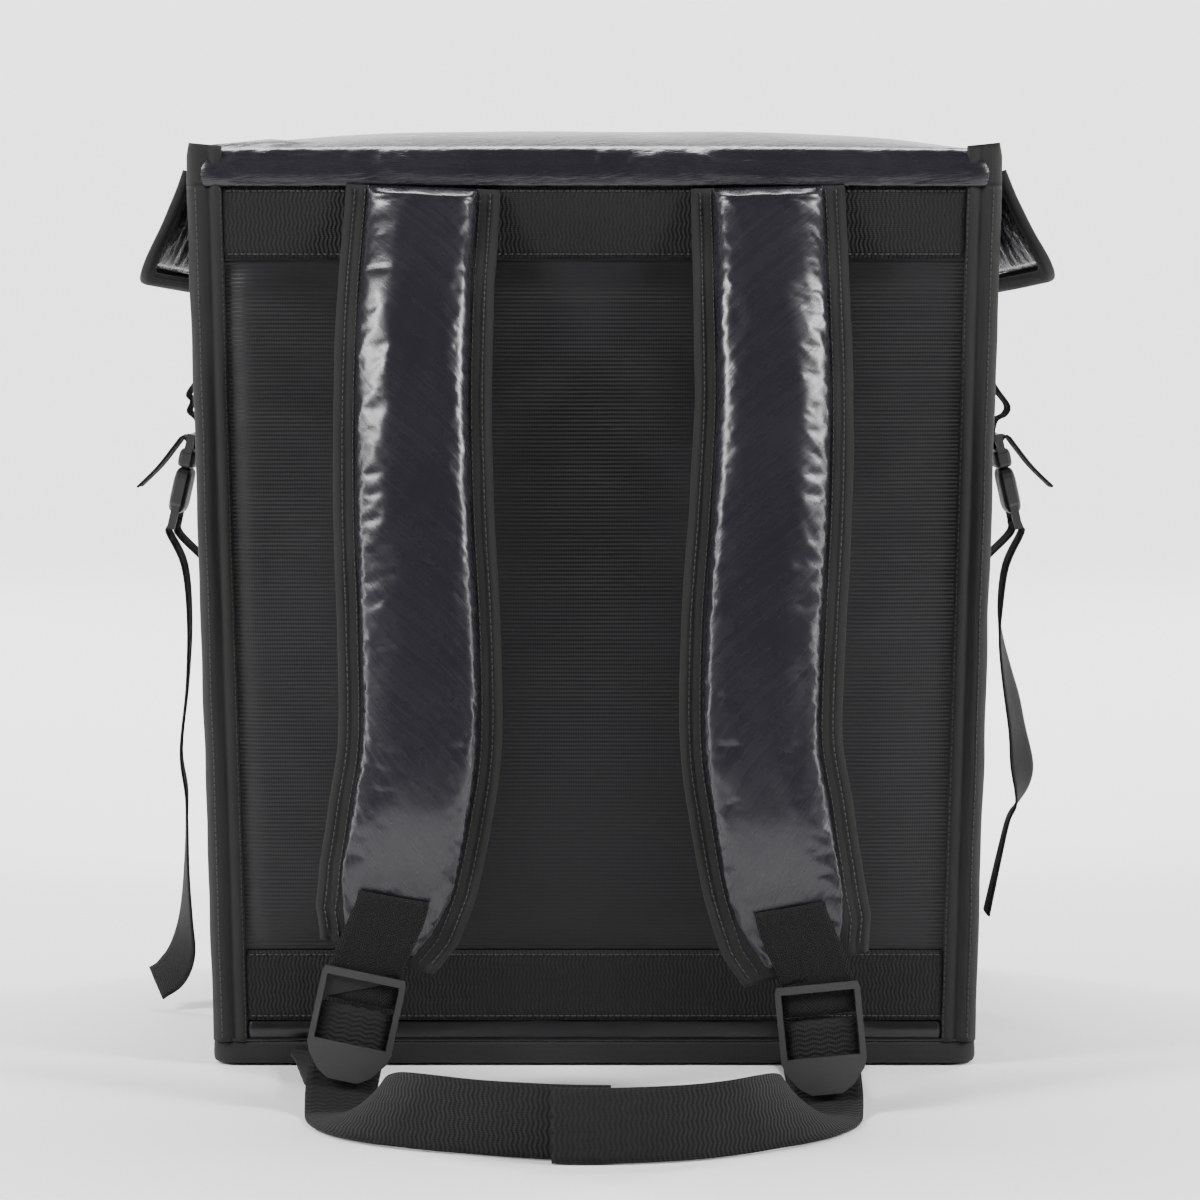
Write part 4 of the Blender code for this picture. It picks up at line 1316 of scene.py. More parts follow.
@dataclass
class HangingPanel:
    """One padded wing or apron of the lid with its binding."""

    name: str
    hanging: Hanging
    seed: float
    sizes: Sizes = SIZES

    def depth_at(self, run: float) -> float:
        """How far the padding reaches down at a place along the seam."""
        size = self.sizes
        margin = size.wing_binding + size.gap
        radius = size.wing_corner - margin
        near = min(run - margin, self.hanging.length - margin - run)
        low = self.hanging.hang - margin
        if near >= radius:
            return low
        near = max(near, 0.0)
        return low - radius + math.sqrt(max(radius**2 - (radius - near) ** 2, 0.0))

    def cushion(self, a: float, t: float) -> Vector:
        """A point of the padding, down its outside and up its inside."""
        size = self.sizes
        margin = size.wing_binding + size.gap
        run = margin + (self.hanging.length - 2 * margin) * t
        deep = self.depth_at(run)
        outer = a < 0.5
        share = a * 2 if outer else 2 - a * 2
        half = size.wing_thickness / 2
        ends = ramp(min(t, 1 - t) * self.hanging.length, 0.0, 0.012)
        belly = math.sin(math.pi * share) ** 0.6 * (0.35 + 0.65 * ends)
        wave = ripple(run, share * 0.05, self.seed + (9.0 if outer else 0.0), 46.0)
        fine = ripple(run, share * 0.09, self.seed + (5.0 if outer else 2.0), 120.0)
        lift = half * 0.72 + belly * (0.0016 + 0.0016 * wave + 0.0006 * fine)
        return self.hanging.point(run, deep * share, lift if outer else -lift)

    def rim(self) -> Run:
        """The middle line of the binding round the free edges."""
        size = self.sizes
        margin = size.wing_binding / 2
        left = margin
        right = self.hanging.length - margin
        low = self.hanging.hang - margin
        radius = size.wing_corner - margin
        found = [(left, 0.0), (left, (low - radius) * 0.5)]
        for k in range(6):
            angle = math.radians(18 * k)
            found.append((left + radius * (1 - math.cos(angle)), low - radius * (1 - math.sin(angle))))
        for k in range(1, 12):
            found.append((left + radius + (right - left - 2 * radius) * k / 12, low))
        for k in range(6):
            angle = math.radians(18 * k)
            found.append(
                (right - radius * (1 - math.sin(angle)), low - radius * (1 - math.cos(angle)))
            )
        found += [(right, (low - radius) * 0.5), (right, 0.0)]
        points = [Vector((run, drop, 0)) for run, drop in found]
        return Run(points, [UP] * len(points), 4)

    def build(self, finishes: Finishes, stitches: Stitching) -> None:
        """Makes the padding and its binding."""
        size = self.sizes
        length = self.hanging.length
        data = sheet(
            36,
            int(length / 0.0035),
            self.cushion,
            lambda a, t: (a * 2 * self.hanging.hang, t * length),
            closed=True,
            capped=True,
        )
        piece = add_piece(f"{self.name}_padding", data, finishes.gloss, Slot.GLOSS, [self.name])
        line = self.rim()
        half = size.wing_binding / 2
        thick = size.wing_thickness / 2 + 0.0006

        def place(a: float, t: float) -> Vector:
            """A point of the binding."""
            middle, _, normal = line.at(t)
            angle = 2 * math.pi * a
            flat = math.copysign(abs(math.cos(angle)) ** 0.55, math.cos(angle))
            rise = math.copysign(abs(math.sin(angle)) ** 0.75, math.sin(angle))
            wave = 1 + 0.10 * ripple(middle.x, middle.y, self.seed, 60.0)
            spot = middle + normal * flat * half
            return self.hanging.point(spot.x, spot.y, rise * thick * wave)

        data = sheet(
            20,
            int(line.length / 0.003),
            place,
            lambda a, t: (a * 0.030, t * line.length),
            closed=True,
            capped=True,
        )
        add_piece(f"{self.name}_tape", data, finishes.tape, Slot.TAPE, [f"{self.name}_binding"])
        for sign in (1, -1):
            path = []
            for i in range(161):
                middle, _, normal = line.at(i / 160)
                spot = middle + normal * half * 0.55
                here = self.hanging.point(spot.x, spot.y, sign * thick * 0.93)
                way = self.hanging.point(spot.x, spot.y, sign * (thick + 0.001)) - here
                path.append((here, way.normalized()))
            stitches.along(path, 0.0002)


@dataclass(frozen=True)
class Station:
    """One height of a shoulder strap, in shares of named sizes."""

    height: float
    bow: float
    centre: float
    width: float


STRAP_STATIONS: dict[Side, tuple[Station, ...]] = {
    Side.LEFT: (
        Station(1.000, 0.043, -0.980, 1.00),
        Station(0.975, 0.062, -0.985, 1.00),
        Station(0.940, 0.160, -0.993, 1.00),
        Station(0.870, 0.355, -1.008, 1.00),
        Station(0.760, 0.556, -1.013, 1.00),
        Station(0.640, 0.722, -0.998, 1.01),
        Station(0.520, 0.852, -0.966, 1.02),
        Station(0.400, 0.930, -0.956, 1.02),
        Station(0.320, 0.962, -1.010, 1.02),
        Station(0.250, 0.978, -1.075, 1.00),
        Station(0.200, 0.985, -1.140, 0.92),
        Station(0.166, 0.990, -1.195, 0.74),
    ),
    Side.RIGHT: (
        Station(1.000, 0.043, 0.992, 1.00),
        Station(0.975, 0.062, 0.995, 1.00),
        Station(0.940, 0.160, 0.998, 1.00),
        Station(0.870, 0.355, 1.000, 1.00),
        Station(0.760, 0.556, 1.003, 1.00),
        Station(0.640, 0.722, 0.975, 1.02),
        Station(0.520, 0.852, 0.933, 1.03),
        Station(0.400, 0.930, 0.918, 1.01),
        Station(0.320, 0.962, 0.975, 1.02),
        Station(0.250, 0.990, 1.035, 1.01),
        Station(0.190, 1.010, 1.110, 0.96),
        Station(0.153, 1.025, 1.165, 0.80),
    ),
}


@dataclass(frozen=True)
class Hardware:
    """Where a buckle lies: its upper edge's middle and its three directions."""

    top: Vector
    across: Vector
    down: Vector
    out: Vector

    @staticmethod
    def between(top: Vector, tip: Vector) -> "Hardware":
        """Hardware that runs from top to tip and faces away from the back."""
        down = (tip - top).normalized()
        out = Vector((0, -1, 0))
        out = (out - down * out.dot(down)).normalized()
        return Hardware(top, down.cross(out), down, out)

    def at(self, u: float, v: float, n: float) -> Vector:
        """A point u across, v down and n out."""
        return self.top + self.across * u + self.down * v + self.out * n


LOCKS: dict[Side, Hardware] = {
    Side.LEFT: Hardware.between(
        Vector((-0.1168, -0.2685, 0.0705)), Vector((-0.1285, -0.2745, 0.0160))
    ),
    Side.RIGHT: Hardware.between(
        Vector((0.1133, -0.2735, 0.0655)), Vector((0.1186, -0.2795, 0.0110))
    ),
}


@dataclass
class ShoulderStrap:
    """One padded shoulder strap with bound borders and a puffed middle."""

    side: Side
    sizes: Sizes = SIZES
    pad_end: float = 0.985
    broad: float = 2.6
    tight: float = 9.0

    def __post_init__(self) -> None:
        """Reads the strap's line from its stations."""
        size = self.sizes
        stations = STRAP_STATIONS[self.side]
        points = [
            Vector(
                (
                    s.centre * size.strap_spread,
                    -size.bag_depth / 2 - s.bow * size.strap_bow,
                    s.height * size.strap_top,
                )
            )
            for s in stations
        ]
        self.line = Run(points, [RIGHT] * len(points), 8)
        self.shares = [s.width for s in stations]
        reach = [0.0]
        for before, after in zip(points, points[1:]):
            reach.append(reach[-1] + (after - before).length)
        self.stops = [value / reach[-1] for value in reach]

    def width_at(self, t: float) -> float:
        """Share of the full width at a share of the length."""
        for i, (low, high) in enumerate(zip(self.stops, self.stops[1:])):
            if t <= high:
                part = (t - low) / (high - low)
                return self.shares[i] + (self.shares[i + 1] - self.shares[i]) * part
        return self.shares[-1]

    def facing(self, t: float) -> tuple[Vector, Vector, Vector]:
        """Point, width direction and the normal away from the bag."""
        point, across, normal = self.line.at(t)
        return point, across, normal if normal.y < 0 else -normal

    def layer(self, a: float, t: float) -> Vector:
        """A point of the flat layer, round its section."""
        size = self.sizes
        point, across, out = self.facing(t)
        half = size.strap_width * self.width_at(t) / 2
        angle = 2 * math.pi * a
        flat = math.copysign(abs(math.cos(angle)) ** 0.35, math.cos(angle))
        rise = math.copysign(abs(math.sin(angle)) ** 0.45, math.sin(angle))
        u = flat * half
        from_edge = half - abs(u)
        roll = 0.0010 * math.exp(-(((from_edge - 0.0022) / 0.0016) ** 2))
        dip = 0.0006 * math.exp(-(((from_edge - 0.0062) / 0.0012) ** 2))
        wave = 0.0007 * ripple(u, 1.0 + self.side.value, t * self.line.length, 28.0)
        curl = 0.0008 * ripple(self.side.value * 4.0, 2.0, t * self.line.length, 16.0)
        lift = rise * (size.strap_thickness / 2 + roll - dip) + wave * ramp(from_edge, 0, 0.01)
        u += math.copysign(curl * ramp(abs(u), half * 0.5, half), u)
        return point + across * u + out * lift

    def puff_at(self, t: float) -> float:
        """Thickness of the pad at a share of the length."""
        close = min(t / 0.025, (self.sizes.pad_end - t) / 0.14, 1.0)
        return self.sizes.pad_thickness * (0.35 + 0.65 * max(close, 0.0) ** 0.6)

    def rise_at(self, run: float) -> float:
        """Height of the pad's cover over the layer at a share of the length."""
        top = ramp(run, 0.0, 0.016) ** 0.5
        low = 1 - ramp(run, 0.80, 0.95)
        return self.sizes.pad_thickness * top * (0.22 + 0.78 * low)

    def pad(self, a: float, t: float) -> Vector:
        """A point of the pad's cover before it swells."""
        size = self.sizes
        run = t * self.pad_end
        point, across, out = self.facing(run)
        taper = 1 - 0.24 * ramp(run, 0.90, 1.0)
        half = size.pad_width * min(self.width_at(run), 1.02) * taper / 2
        u = math.sin((a - 0.5) * math.pi * 0.995) * half
        share = min(abs(u) / half, 1.0)
        outer = u * self.side.value * across.x > 0
        power = self.broad if outer else self.tight
        dome = max(1 - share**power, 0.0) ** 0.55
        z = run * self.line.length
        rim = ramp(share, 0.84, 0.98)
        pucker = ripple(self.side.value * 2.0, u * 0.4, z, 170.0) + 0.6 * ripple(5.0, u * 0.5, z, 330.0)
        height = size.strap_thickness / 2 + size.gap + self.rise_at(run) * dome
        height += 0.0006 * pucker * rim * dome
        u += math.copysign(0.0008 * pucker * rim + 0.0005 * ripple(9.0, 1.0, z, 90.0), u)
        lean = -self.side.value
        crease = ripple(u * 1.5, self.side.value + 3.0, z * 0.6 + u * lean, 60.0)
        return point + across * u + out * (height + 0.0004 * crease * dome)

    def build(self, finishes: Finishes, bench: ClothBench, stitches: Stitching) -> bpy.types.Object:
        """Makes the flat layer and the pad's cover."""
        size = self.sizes
        word = self.side.word
        length = self.line.length
        data = sheet(
            72,
            150,
            self.layer,
            lambda a, t: ((abs(a - 0.5) * 2) * size.strap_width, t * length),
            closed=True,
            capped=True,
        )
        piece = add_piece(
            f"strap_layer_{word}", data, finishes.tape, Slot.TAPE, [f"shoulder_strap_{word}"]
        )
        data = sheet(
            40,
            250,
            self.pad,
            lambda a, t: (a * size.pad_width, t * length),
            outward=lambda p: Vector((0, -1, 0.2)),
        )
        finish = finishes.pads[self.side]
        cover = add_piece(f"strap_pad_{word}", data, finish, Slot.GLOSS, [f"shoulder_pad_{word}"])
        bench.add(
            ClothJob(cover, 1.0, 0.004, 0.0011, stiff=0.5),
            lambda vert: 1.0 if vert.is_boundary else 0.0,
        )
        for edge in (-1, 1):
            for offset in (0.0048, 0.0105):
                path = []
                for i in range(200):
                    t = 0.004 + 0.985 * i / 199
                    point, across, out = self.facing(t)
                    half = size.strap_width * self.width_at(t) / 2
                    here = point + across * edge * (half - offset)
                    path.append((here + out * size.strap_thickness / 2, out))
                stitches.along(path, 0.0002)
        return cover

    def close(self, cover: bpy.types.Object) -> None:
        """Gives the swollen cover its thickness."""
        thicken(cover, 0.0009, -1.0)


@dataclass(frozen=True)
class TailStation:
    """One place of a webbing tail on the floor, in shares of named sizes."""

    sideways: float
    forward: float
    stand: float


TAILS: dict[Side, tuple[TailStation, ...]] = {
    Side.LEFT: (
        TailStation(-0.2990, -0.900, 0.00),
        TailStation(-0.2930, -0.947, 0.10),
        TailStation(-0.2770, -1.010, 0.35),
        TailStation(-0.2440, -1.072, 0.65),
        TailStation(-0.1980, -1.125, 0.88),
        TailStation(-0.1280, -1.170, 1.00),
        TailStation(-0.0460, -1.200, 1.00),
        TailStation(0.0190, -1.208, 1.00),
    ),
    Side.RIGHT: (
        TailStation(0.2740, -0.915, 0.00),
        TailStation(0.2660, -0.968, 0.15),
        TailStation(0.2460, -1.034, 0.45),
        TailStation(0.2140, -1.100, 0.75),
        TailStation(0.1670, -1.162, 0.95),
        TailStation(0.1050, -1.205, 1.00),
        TailStation(0.0230, -1.227, 1.00),
        TailStation(-0.0470, -1.227, 1.00),
    ),
}


def webbing_piece(
    name: str,
    line: Run,
    width: float,
    thickness: float,
    finish: bpy.types.Material,
    nodes: Sequence[str],
    cells: int = 10,
    step: float = 0.0022,
) -> Place:
    """Makes a flat webbing along a line.

    Args:
        name: The piece's name.
        line: Its path.
        width: Its width.
        thickness: Its thickness.
        finish: Its material.
        nodes: The nodes that it replaces.
        cells: Cells across.
        step: Length of a cell.

    Returns:
        Its middle surface, for stitches.
    """

    def place(a: float, t: float) -> Vector:
        """A point of the webbing's middle surface."""
        point, across, normal = line.at(t)
        cup = 0.0002 * math.cos(2 * math.pi * a)
        wave = 0.0006 * ripple(point.x, point.y, point.z * 0.5, 45.0) * (a - 0.5)
        return point + across * (a - 0.5) * width + normal * (cup + wave)

    data = sheet(
        cells,
        max(int(line.length / step), 4),
        place,
        lambda a, t: (a * width, t * line.length),
        outward=lambda p: Vector((0, -1, 0)),
    )
    piece = add_piece(name, data, finish, Slot.WEBBING, nodes)
    thicken(piece, thickness)
    return place


@dataclass
class StrapEnd:
    """Ladder lock with the patch above it and the adjuster through it."""

    side: Side
    strap: ShoulderStrap
    sizes: Sizes = SIZES
    rail: float = 0.0030
    front: float = 0.0046
    back: float = -0.0030
    plate: float = 0.0021
    rim: float = 0.0040
    tongue_from: float = 0.037
    bar_height: float = 0.0040
    bar_thickness: float = 0.0020
    bar_a: float = 0.0100
    bar_b: float = 0.0205

    @property
    def lock(self) -> Hardware:
        """Where the ladder lock lies."""
        return LOCKS[self.side]

    @property
    def levels(self) -> tuple[float, float]:
        """Levels of webbing in front of and behind the bars."""
        web = self.sizes.webbing_thickness / 2 + self.sizes.gap + 0.0005
        low = self.back + 0.0005
        return low + self.bar_thickness + web, low - web

    def patch_line(self) -> Run:
        """Path of the patch from the pad over the upper bar and back up."""
        size = self.sizes
        top_height = 0.118 if self.side is Side.LEFT else 0.111
        lift = size.webbing_thickness / 2 + 0.0011
        path: list[Vector] = []
        for i in range(41):
            t = size.pad_end * i / 40
            point, _, out = self.strap.facing(t)
            if point.z < top_height + 0.001:
                puff = self.strap.puff_at(t)
                path.append(point + out * (size.strap_thickness / 2 + puff + size.gap + lift))
        front, back = self.levels
        web = size.webbing_thickness / 2 + size.gap + 0.0005
        under = self.bar_a + self.bar_height + web
        middle = (front + back) / 2
        for v, n in (
            (-0.005, front + 0.0010),
            (0.000, front - 0.0002),
            (self.bar_a, front),
            (self.bar_a + self.bar_height * 0.9, front),
            (under, middle + 0.0010),
            (under, middle - 0.0010),
            (self.bar_a + self.bar_height * 0.9, back),
            (self.bar_a, back),
            (0.001, back - 0.0006),
        ):
            path.append(self.lock.at(0.0, v, n))
        return Run(path, [self.lock.across] * len(path), 4)

    def adjuster_line(self) -> Run:
        """Path of the adjuster from the base seam to the end of its tail."""
        size = self.sizes
        anchor_x = -0.1460 if self.side is Side.LEFT else 0.1200
        anchor = Vector((anchor_x, -size.bag_depth / 2 - size.base_thickness - 2 * size.gap, 0.0052))
        floor_z = size.webbing_thickness / 2 + 0.0006
        front, back = self.levels
        web = size.webbing_thickness / 2 + size.gap + 0.0005
        over = self.bar_b - web
        middle = (front + back) / 2
        long = size.lock_length
        foot = self.lock.at(0.0, long, back)
        points = [anchor, anchor + Vector((0, -0.003, 0)), anchor + Vector((0, -0.007, -0.0008))]
        for t, rise in ((0.20, 0.0012), (0.34, 0.0), (0.60, 0.0), (0.82, 0.0012)):
            point = anchor.lerp(Vector((foot.x, foot.y, floor_z)), t)
            point.z = floor_z + rise
            points.append(point)
        for v, n in (
            (long * 0.98, back - 0.0060),
            (long * 0.78, back - 0.0008),
            (self.bar_b + self.bar_height, back),
            (self.bar_b + self.bar_height * 0.1, back),
            (over, middle - 0.0010),
            (over, middle + 0.0010),
            (self.bar_b + self.bar_height * 0.1, front),
            (self.bar_b + self.bar_height, front),
            (long * 0.66, front),
            (long * 0.86, front - 0.0008),
            (long * 1.05, front - 0.0016),
        ):
            points.append(self.lock.at(0.0, v, n))
        across = [self.lock.across] * len(points)
        rows = [
            Vector((s.sideways * size.top_width, s.forward * size.bag_depth, s.stand))
            for s in TAILS[self.side]
        ]
        path = Run(rows, [UP] * len(rows), 3).points
        for i, row in enumerate(path):
            ahead = path[min(i + 1, len(path) - 1)]
            behind = path[max(i - 1, 0)]
            heading = Vector((ahead.x - behind.x, ahead.y - behind.y, 0)).normalized()
            flat = heading.cross(UP)
            turn = math.pi / 2 * min(max(row.z, 0.0), 1.0)
            rise = size.webbing_width / 2 * math.sin(turn)
            rise += size.webbing_thickness / 2 * math.cos(turn)
            points.append(Vector((row.x, row.y, rise + 0.0006)))
            across.append(flat * math.cos(turn) + UP * self.side.value * math.sin(turn))
        return Run(points, across, 3)

    def slab(self, corners: Sequence[tuple[float, float]], low: float, high: float) -> bmesh.types.BMesh:
        """Extrudes an outline in the lock's plane from one level to another."""
        data = bmesh.new()
        verts = [data.verts.new(self.lock.at(u, v, low)) for u, v in corners]
        face = data.faces.new(verts)
        grown = bmesh.ops.extrude_face_region(data, geom=[face])["geom"]
        moved = [item for item in grown if isinstance(item, bmesh.types.BMVert)]
        bmesh.ops.translate(data, verts=moved, vec=self.lock.out * (high - low))
        bmesh.ops.recalc_face_normals(data, faces=data.faces)
        return data

    def lock_piece(self, finishes: Finishes) -> None:
        """Makes the ladder lock with rounded edges."""
        half = self.sizes.lock_width / 2
        long = self.sizes.lock_length
        right = [(0.95, 0.0), (1.0, 0.055), (1.0, 0.70), (0.92, 0.79), (0.64, 0.93), (0.36, 1.0)]
        outline = [(half * u, long * v) for u, v in right]
        outline += [(-u, v) for u, v in reversed(outline)]
        clear = half - self.rail
        parts = [self.slab(outline, self.front - self.plate, self.front)]
        for sign in (-1, 1):
            low, high = sorted((sign * clear, sign * (half - 0.0002)))
            rail = ((low, 0.0031), (high, 0.0031), (high, long * 0.60), (low, long * 0.60))
            parts.append(self.slab(rail, self.back, self.front - self.plate / 2))
        for bar in (self.bar_a, self.bar_b):
            reach = half - self.rail / 2
            edge = bar + self.bar_height
            beam = ((-reach, bar), (reach, bar), (reach, edge), (-reach, edge))
            parts.append(self.slab(beam, self.back + 0.0005, self.back + 0.0005 + self.bar_thickness))
        low, high = self.rim, self.tongue_from
        window = ((-clear, low), (clear, low), (clear, high), (-clear, high))
        cut = self.slab(window, self.front - 2 * self.plate, self.front + self.plate)
        name = f"ladder_lock_{self.side.word}"
        piece = joined(f"{name}_moulded", parts, [cut], finishes.plastic)
        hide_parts(name)
        soften(piece, 0.0007, 3)

    def build(self, finishes: Finishes, stitches: Stitching) -> None:
        """Makes the lock, the patch and the adjuster."""
        size = self.sizes
        word = self.side.word
        self.lock_piece(finishes)
        line = self.patch_line()
        place = webbing_piece(
            f"patch_webbing_{word}",
            line,
            size.webbing_width,
            size.webbing_thickness,
            finishes.patch,
            [f"strap_patch_{word}"],
        )
        lift = size.webbing_thickness / 2 + 0.0001
        _, _, normal = line.at(0.05)
        sign = -1.0 if normal.y > 0 else 1.0
        corners = ((0.07, 0.03), (0.93, 0.03), (0.93, 0.33), (0.07, 0.33), (0.07, 0.03))
        for start, end in zip(corners, corners[1:]):
            stitches.row(place, start, end, sign * lift)
        adjuster = self.adjuster_line()
        keep_above_floor(adjuster, size)
        webbing_piece(
            f"adjuster_{word}",
            adjuster,
            size.webbing_width,
            size.webbing_thickness,
            finishes.webbing,
            [f"adjuster_webbing_{word}"],
        )


def joined(
    name: str,
    parts: Sequence[bmesh.types.BMesh],
    cuts: Sequence[bmesh.types.BMesh],
    finish: bpy.types.Material,
) -> bpy.types.Object:
    """One moulded piece made of overlapping parts, less the cuts.

    Args:
        name: The piece's name.
        parts: Mesh data to unite.
        cuts: Mesh data to cut away.
        finish: The material.

    Returns:
        The piece.
    """
    piece = add_piece(name, parts[0], finish, Slot.PLASTIC, smooth=False)
    helpers = []
    for operation, group in (("UNION", parts[1:]), ("DIFFERENCE", cuts)):
        for data in group:
            mesh = bpy.data.meshes.new("helper")
            data.to_mesh(mesh)
            data.free()
            helper = bpy.data.objects.new("helper", mesh)
            bpy.context.scene.collection.objects.link(helper)
            step = piece.modifiers.new("join", "BOOLEAN")
            step.operation = operation
            step.solver = "EXACT"
            step.object = helper
            helpers.append(helper)
    bpy.context.view_layer.update()
    ready = piece.evaluated_get(bpy.context.evaluated_depsgraph_get())
    mesh = bpy.data.meshes.new_from_object(ready)
    piece.modifiers.clear()
    piece.data = mesh
    if not mesh.materials:
        mesh.materials.append(finish)
    for helper in helpers:
        bpy.data.objects.remove(helper, do_unlink=True)
    return piece


@dataclass(frozen=True)
class SideStation:
    """One height of a side strap that hangs clear of the wall."""

    height: float
    out: float
    twist: float


SIDE_UPPERS: dict[Side, tuple[SideStation, ...]] = {
    Side.LEFT: (
        SideStation(0.795, 0.5215, 0.0),
        SideStation(0.762, 0.5475, 0.0),
        SideStation(0.752, 0.5425, 0.0),
        SideStation(0.739, 0.5475, 0.0),
        SideStation(0.729, 0.5370, 0.0),
    ),
    Side.RIGHT: (
        SideStation(0.795, 0.5215, 0.0),
        SideStation(0.766, 0.5400, 0.0),
        SideStation(0.746, 0.5560, 0.0),
        SideStation(0.735, 0.5520, 0.0),
        SideStation(0.729, 0.5400, 0.0),
    ),
}
SIDE_TAILS: dict[Side, tuple[SideStation, ...]] = {
    Side.LEFT: (
        SideStation(0.550, 0.5560, 0.00),
        SideStation(0.480, 0.5500, 0.03),
        SideStation(0.400, 0.5540, 0.05),
        SideStation(0.320, 0.5630, 0.06),
        SideStation(0.265, 0.5560, 0.05),
        SideStation(0.180, 0.5570, 0.12),
        SideStation(0.115, 0.5585, 0.25),
        SideStation(0.072, 0.5640, 0.48),
        SideStation(0.046, 0.5790, 0.66),
        SideStation(0.032, 0.6000, 0.72),
    ),
    Side.RIGHT: (
        SideStation(0.550, 0.5560, 0.00),
        SideStation(0.497, 0.5490, 0.03),
        SideStation(0.460, 0.5505, 0.11),
        SideStation(0.421, 0.5580, 0.19),
        SideStation(0.385, 0.5665, 0.27),
        SideStation(0.348, 0.5735, 0.31),
        SideStation(0.312, 0.5795, 0.40),
        SideStation(0.293, 0.5815, 0.38),
        SideStation(0.275, 0.5800, 0.27),
        SideStation(0.256, 0.5740, 0.11),
        SideStation(0.238, 0.5630, 0.05),
        SideStation(0.201, 0.5530, 0.03),
        SideStation(0.120, 0.5340, 0.00),
    ),
}


@dataclass
class SideFastening:
    """Strap, buckle and hanging tail on one side of the bag."""

    side: Side
    sizes: Sizes = SIZES
    top: float = 0.338
    out: float = 0.2325
    tilt: float = math.radians(13)
    width: float = 0.034
    thickness: float = 0.0095
    length: float = 0.056
    bar: float = 0.0030
    bar_thickness: float = 0.0022
    rail: float = 0.0038
    block_from: float = 0.0090
    plug_length: float = 0.0200

    @property
    def at(self) -> Hardware:
        """Where the buckle lies."""
        sign = self.side.value
        down = Vector((sign * math.sin(self.tilt), 0, -math.cos(self.tilt)))
        out = Vector((sign * math.cos(self.tilt), 0, math.sin(self.tilt)))
        return Hardware(Vector((sign * self.out, 0, self.top)), down.cross(out), down, out)

    @property
    def socket_bar(self) -> float:
        """Where the socket's bar begins."""
        return self.length - self.bar

    def wall(self, z: float) -> float:
        """How far the middle of the side wall stands out at a height."""
        crest = math.sin(math.pi * (0.42 - self.sizes.flat_run) / (1 - 2 * self.sizes.flat_run))
        return OUTLINE.half_width(z) + self.sizes.side_bulge * crest * OUTLINE.swelling(z)

    def hanging(self, stations: Sequence[SideStation]) -> tuple[list[Vector], list[Vector]]:
        """Points and width directions of a stretch clear of the wall."""
        size = self.sizes
        sign = self.side.value
        points = []
        across = []
        for s in stations:
            turn = math.pi / 2 * s.twist
            points.append(Vector((sign * s.out * size.top_width, 0, s.height * size.bag_height)))
            across.append(Vector((sign * math.sin(turn), math.cos(turn), 0)))
        return points, across

    def upper_line(self) -> Run:
        """Path of the webbing from under the wing to its stiff free end."""
        size = self.sizes
        sign = self.side.value
        reach = self.bar_thickness / 2 + size.side_webbing_thickness / 2 + size.gap
        proud = size.side_webbing_thickness / 2 + size.gap + 0.0004
        points = [Vector((sign * (self.wall(z) + proud), 0, z)) for z in (0.452, 0.430, 0.410, 0.392)]
        loose, _ = self.hanging(SIDE_UPPERS[self.side])
        points += loose
        for v, n in (
            (-0.0010, -reach),
            (self.bar, -reach),
            (self.bar + reach * 0.8, -reach * 0.5),
            (self.bar + reach * 0.8, reach * 0.7),
            (self.bar * 0.8, reach + 0.0034),
            (0.0090, reach + 0.0068),
            (0.0230, reach + 0.0135),
            (0.0370, reach + 0.0225),
        ):
            points.append(self.at.at(0.0, v, n))
        return Run(points, [Vector((0, 1, 0))] * len(points), 5)

    def lower_line(self) -> Run:
        """Path of the webbing from the wall through the socket to the tail's end."""
        size = self.sizes
        sign = self.side.value
        reach = self.bar_thickness / 2 + size.side_webbing_thickness / 2 + size.gap
        proud = size.side_webbing_thickness / 2 + size.gap + 0.0004
        points = [Vector((sign * (self.wall(z) + proud), 0, z)) for z in (0.205, 0.225, 0.245, 0.258)]
        bar = self.socket_bar
        for v, n in (
            (bar + self.bar + 0.0040, -reach - 0.0040),
            (bar + self.bar * 0.8, -reach),
            (bar, -reach),
            (bar - reach * 0.8, -reach * 0.5),
            (bar - reach * 0.8, reach * 0.5),
            (bar, reach),
            (bar + self.bar * 0.8, reach),
            (bar + self.bar + 0.0030, reach + 0.0002),
        ):
            points.append(self.at.at(0.0, v, n))
        across = [Vector((0, 1, 0))] * len(points)
        loose, turned = self.hanging(SIDE_TAILS[self.side])
        return Run(points + loose, across + turned, 5)

    def block(self, start: float, end: float, raised: bool) -> bmesh.types.BMesh:
        """A rounded block of the buckle with a raised middle."""
        data = bmesh.new()
        bmesh.ops.create_cube(data, size=1.0)
        at = self.at
        middle = (start + end) / 2
        bmesh.ops.bevel(
            data,
            geom=list(data.edges),
            offset=0.22,
            offset_type="OFFSET",
            affect="EDGES",
            segments=3,
            profile=0.5,
            material=-1,
        )
        if raised:
            faces = [face for face in data.faces if face.normal.z > 0.9 and face.calc_area() > 0.1]
            bmesh.ops.inset_region(data, faces=faces, thickness=0.07, depth=0.05)
        for vert in data.verts:
            x, y, z = vert.co
            vert.co = at.at(x * self.width, middle + y * (end - start), z * self.thickness)
        bmesh.ops.recalc_face_normals(data, faces=data.faces)
        return data

    def beam(self, u0: float, u1: float, v0: float, v1: float, n0: float, n1: float) -> bmesh.types.BMesh:
        """A straight bar or rail of the buckle."""
        data = bmesh.new()
        bmesh.ops.create_cube(data, size=1.0)
        for vert in data.verts:
            x, y, z = vert.co
            vert.co = self.at.at(
                (u0 + u1) / 2 + x * (u1 - u0), (v0 + v1) / 2 + y * (v1 - v0), (n0 + n1) / 2 + z * (n1 - n0)
            )
        bmesh.ops.recalc_face_normals(data, faces=data.faces)
        return data

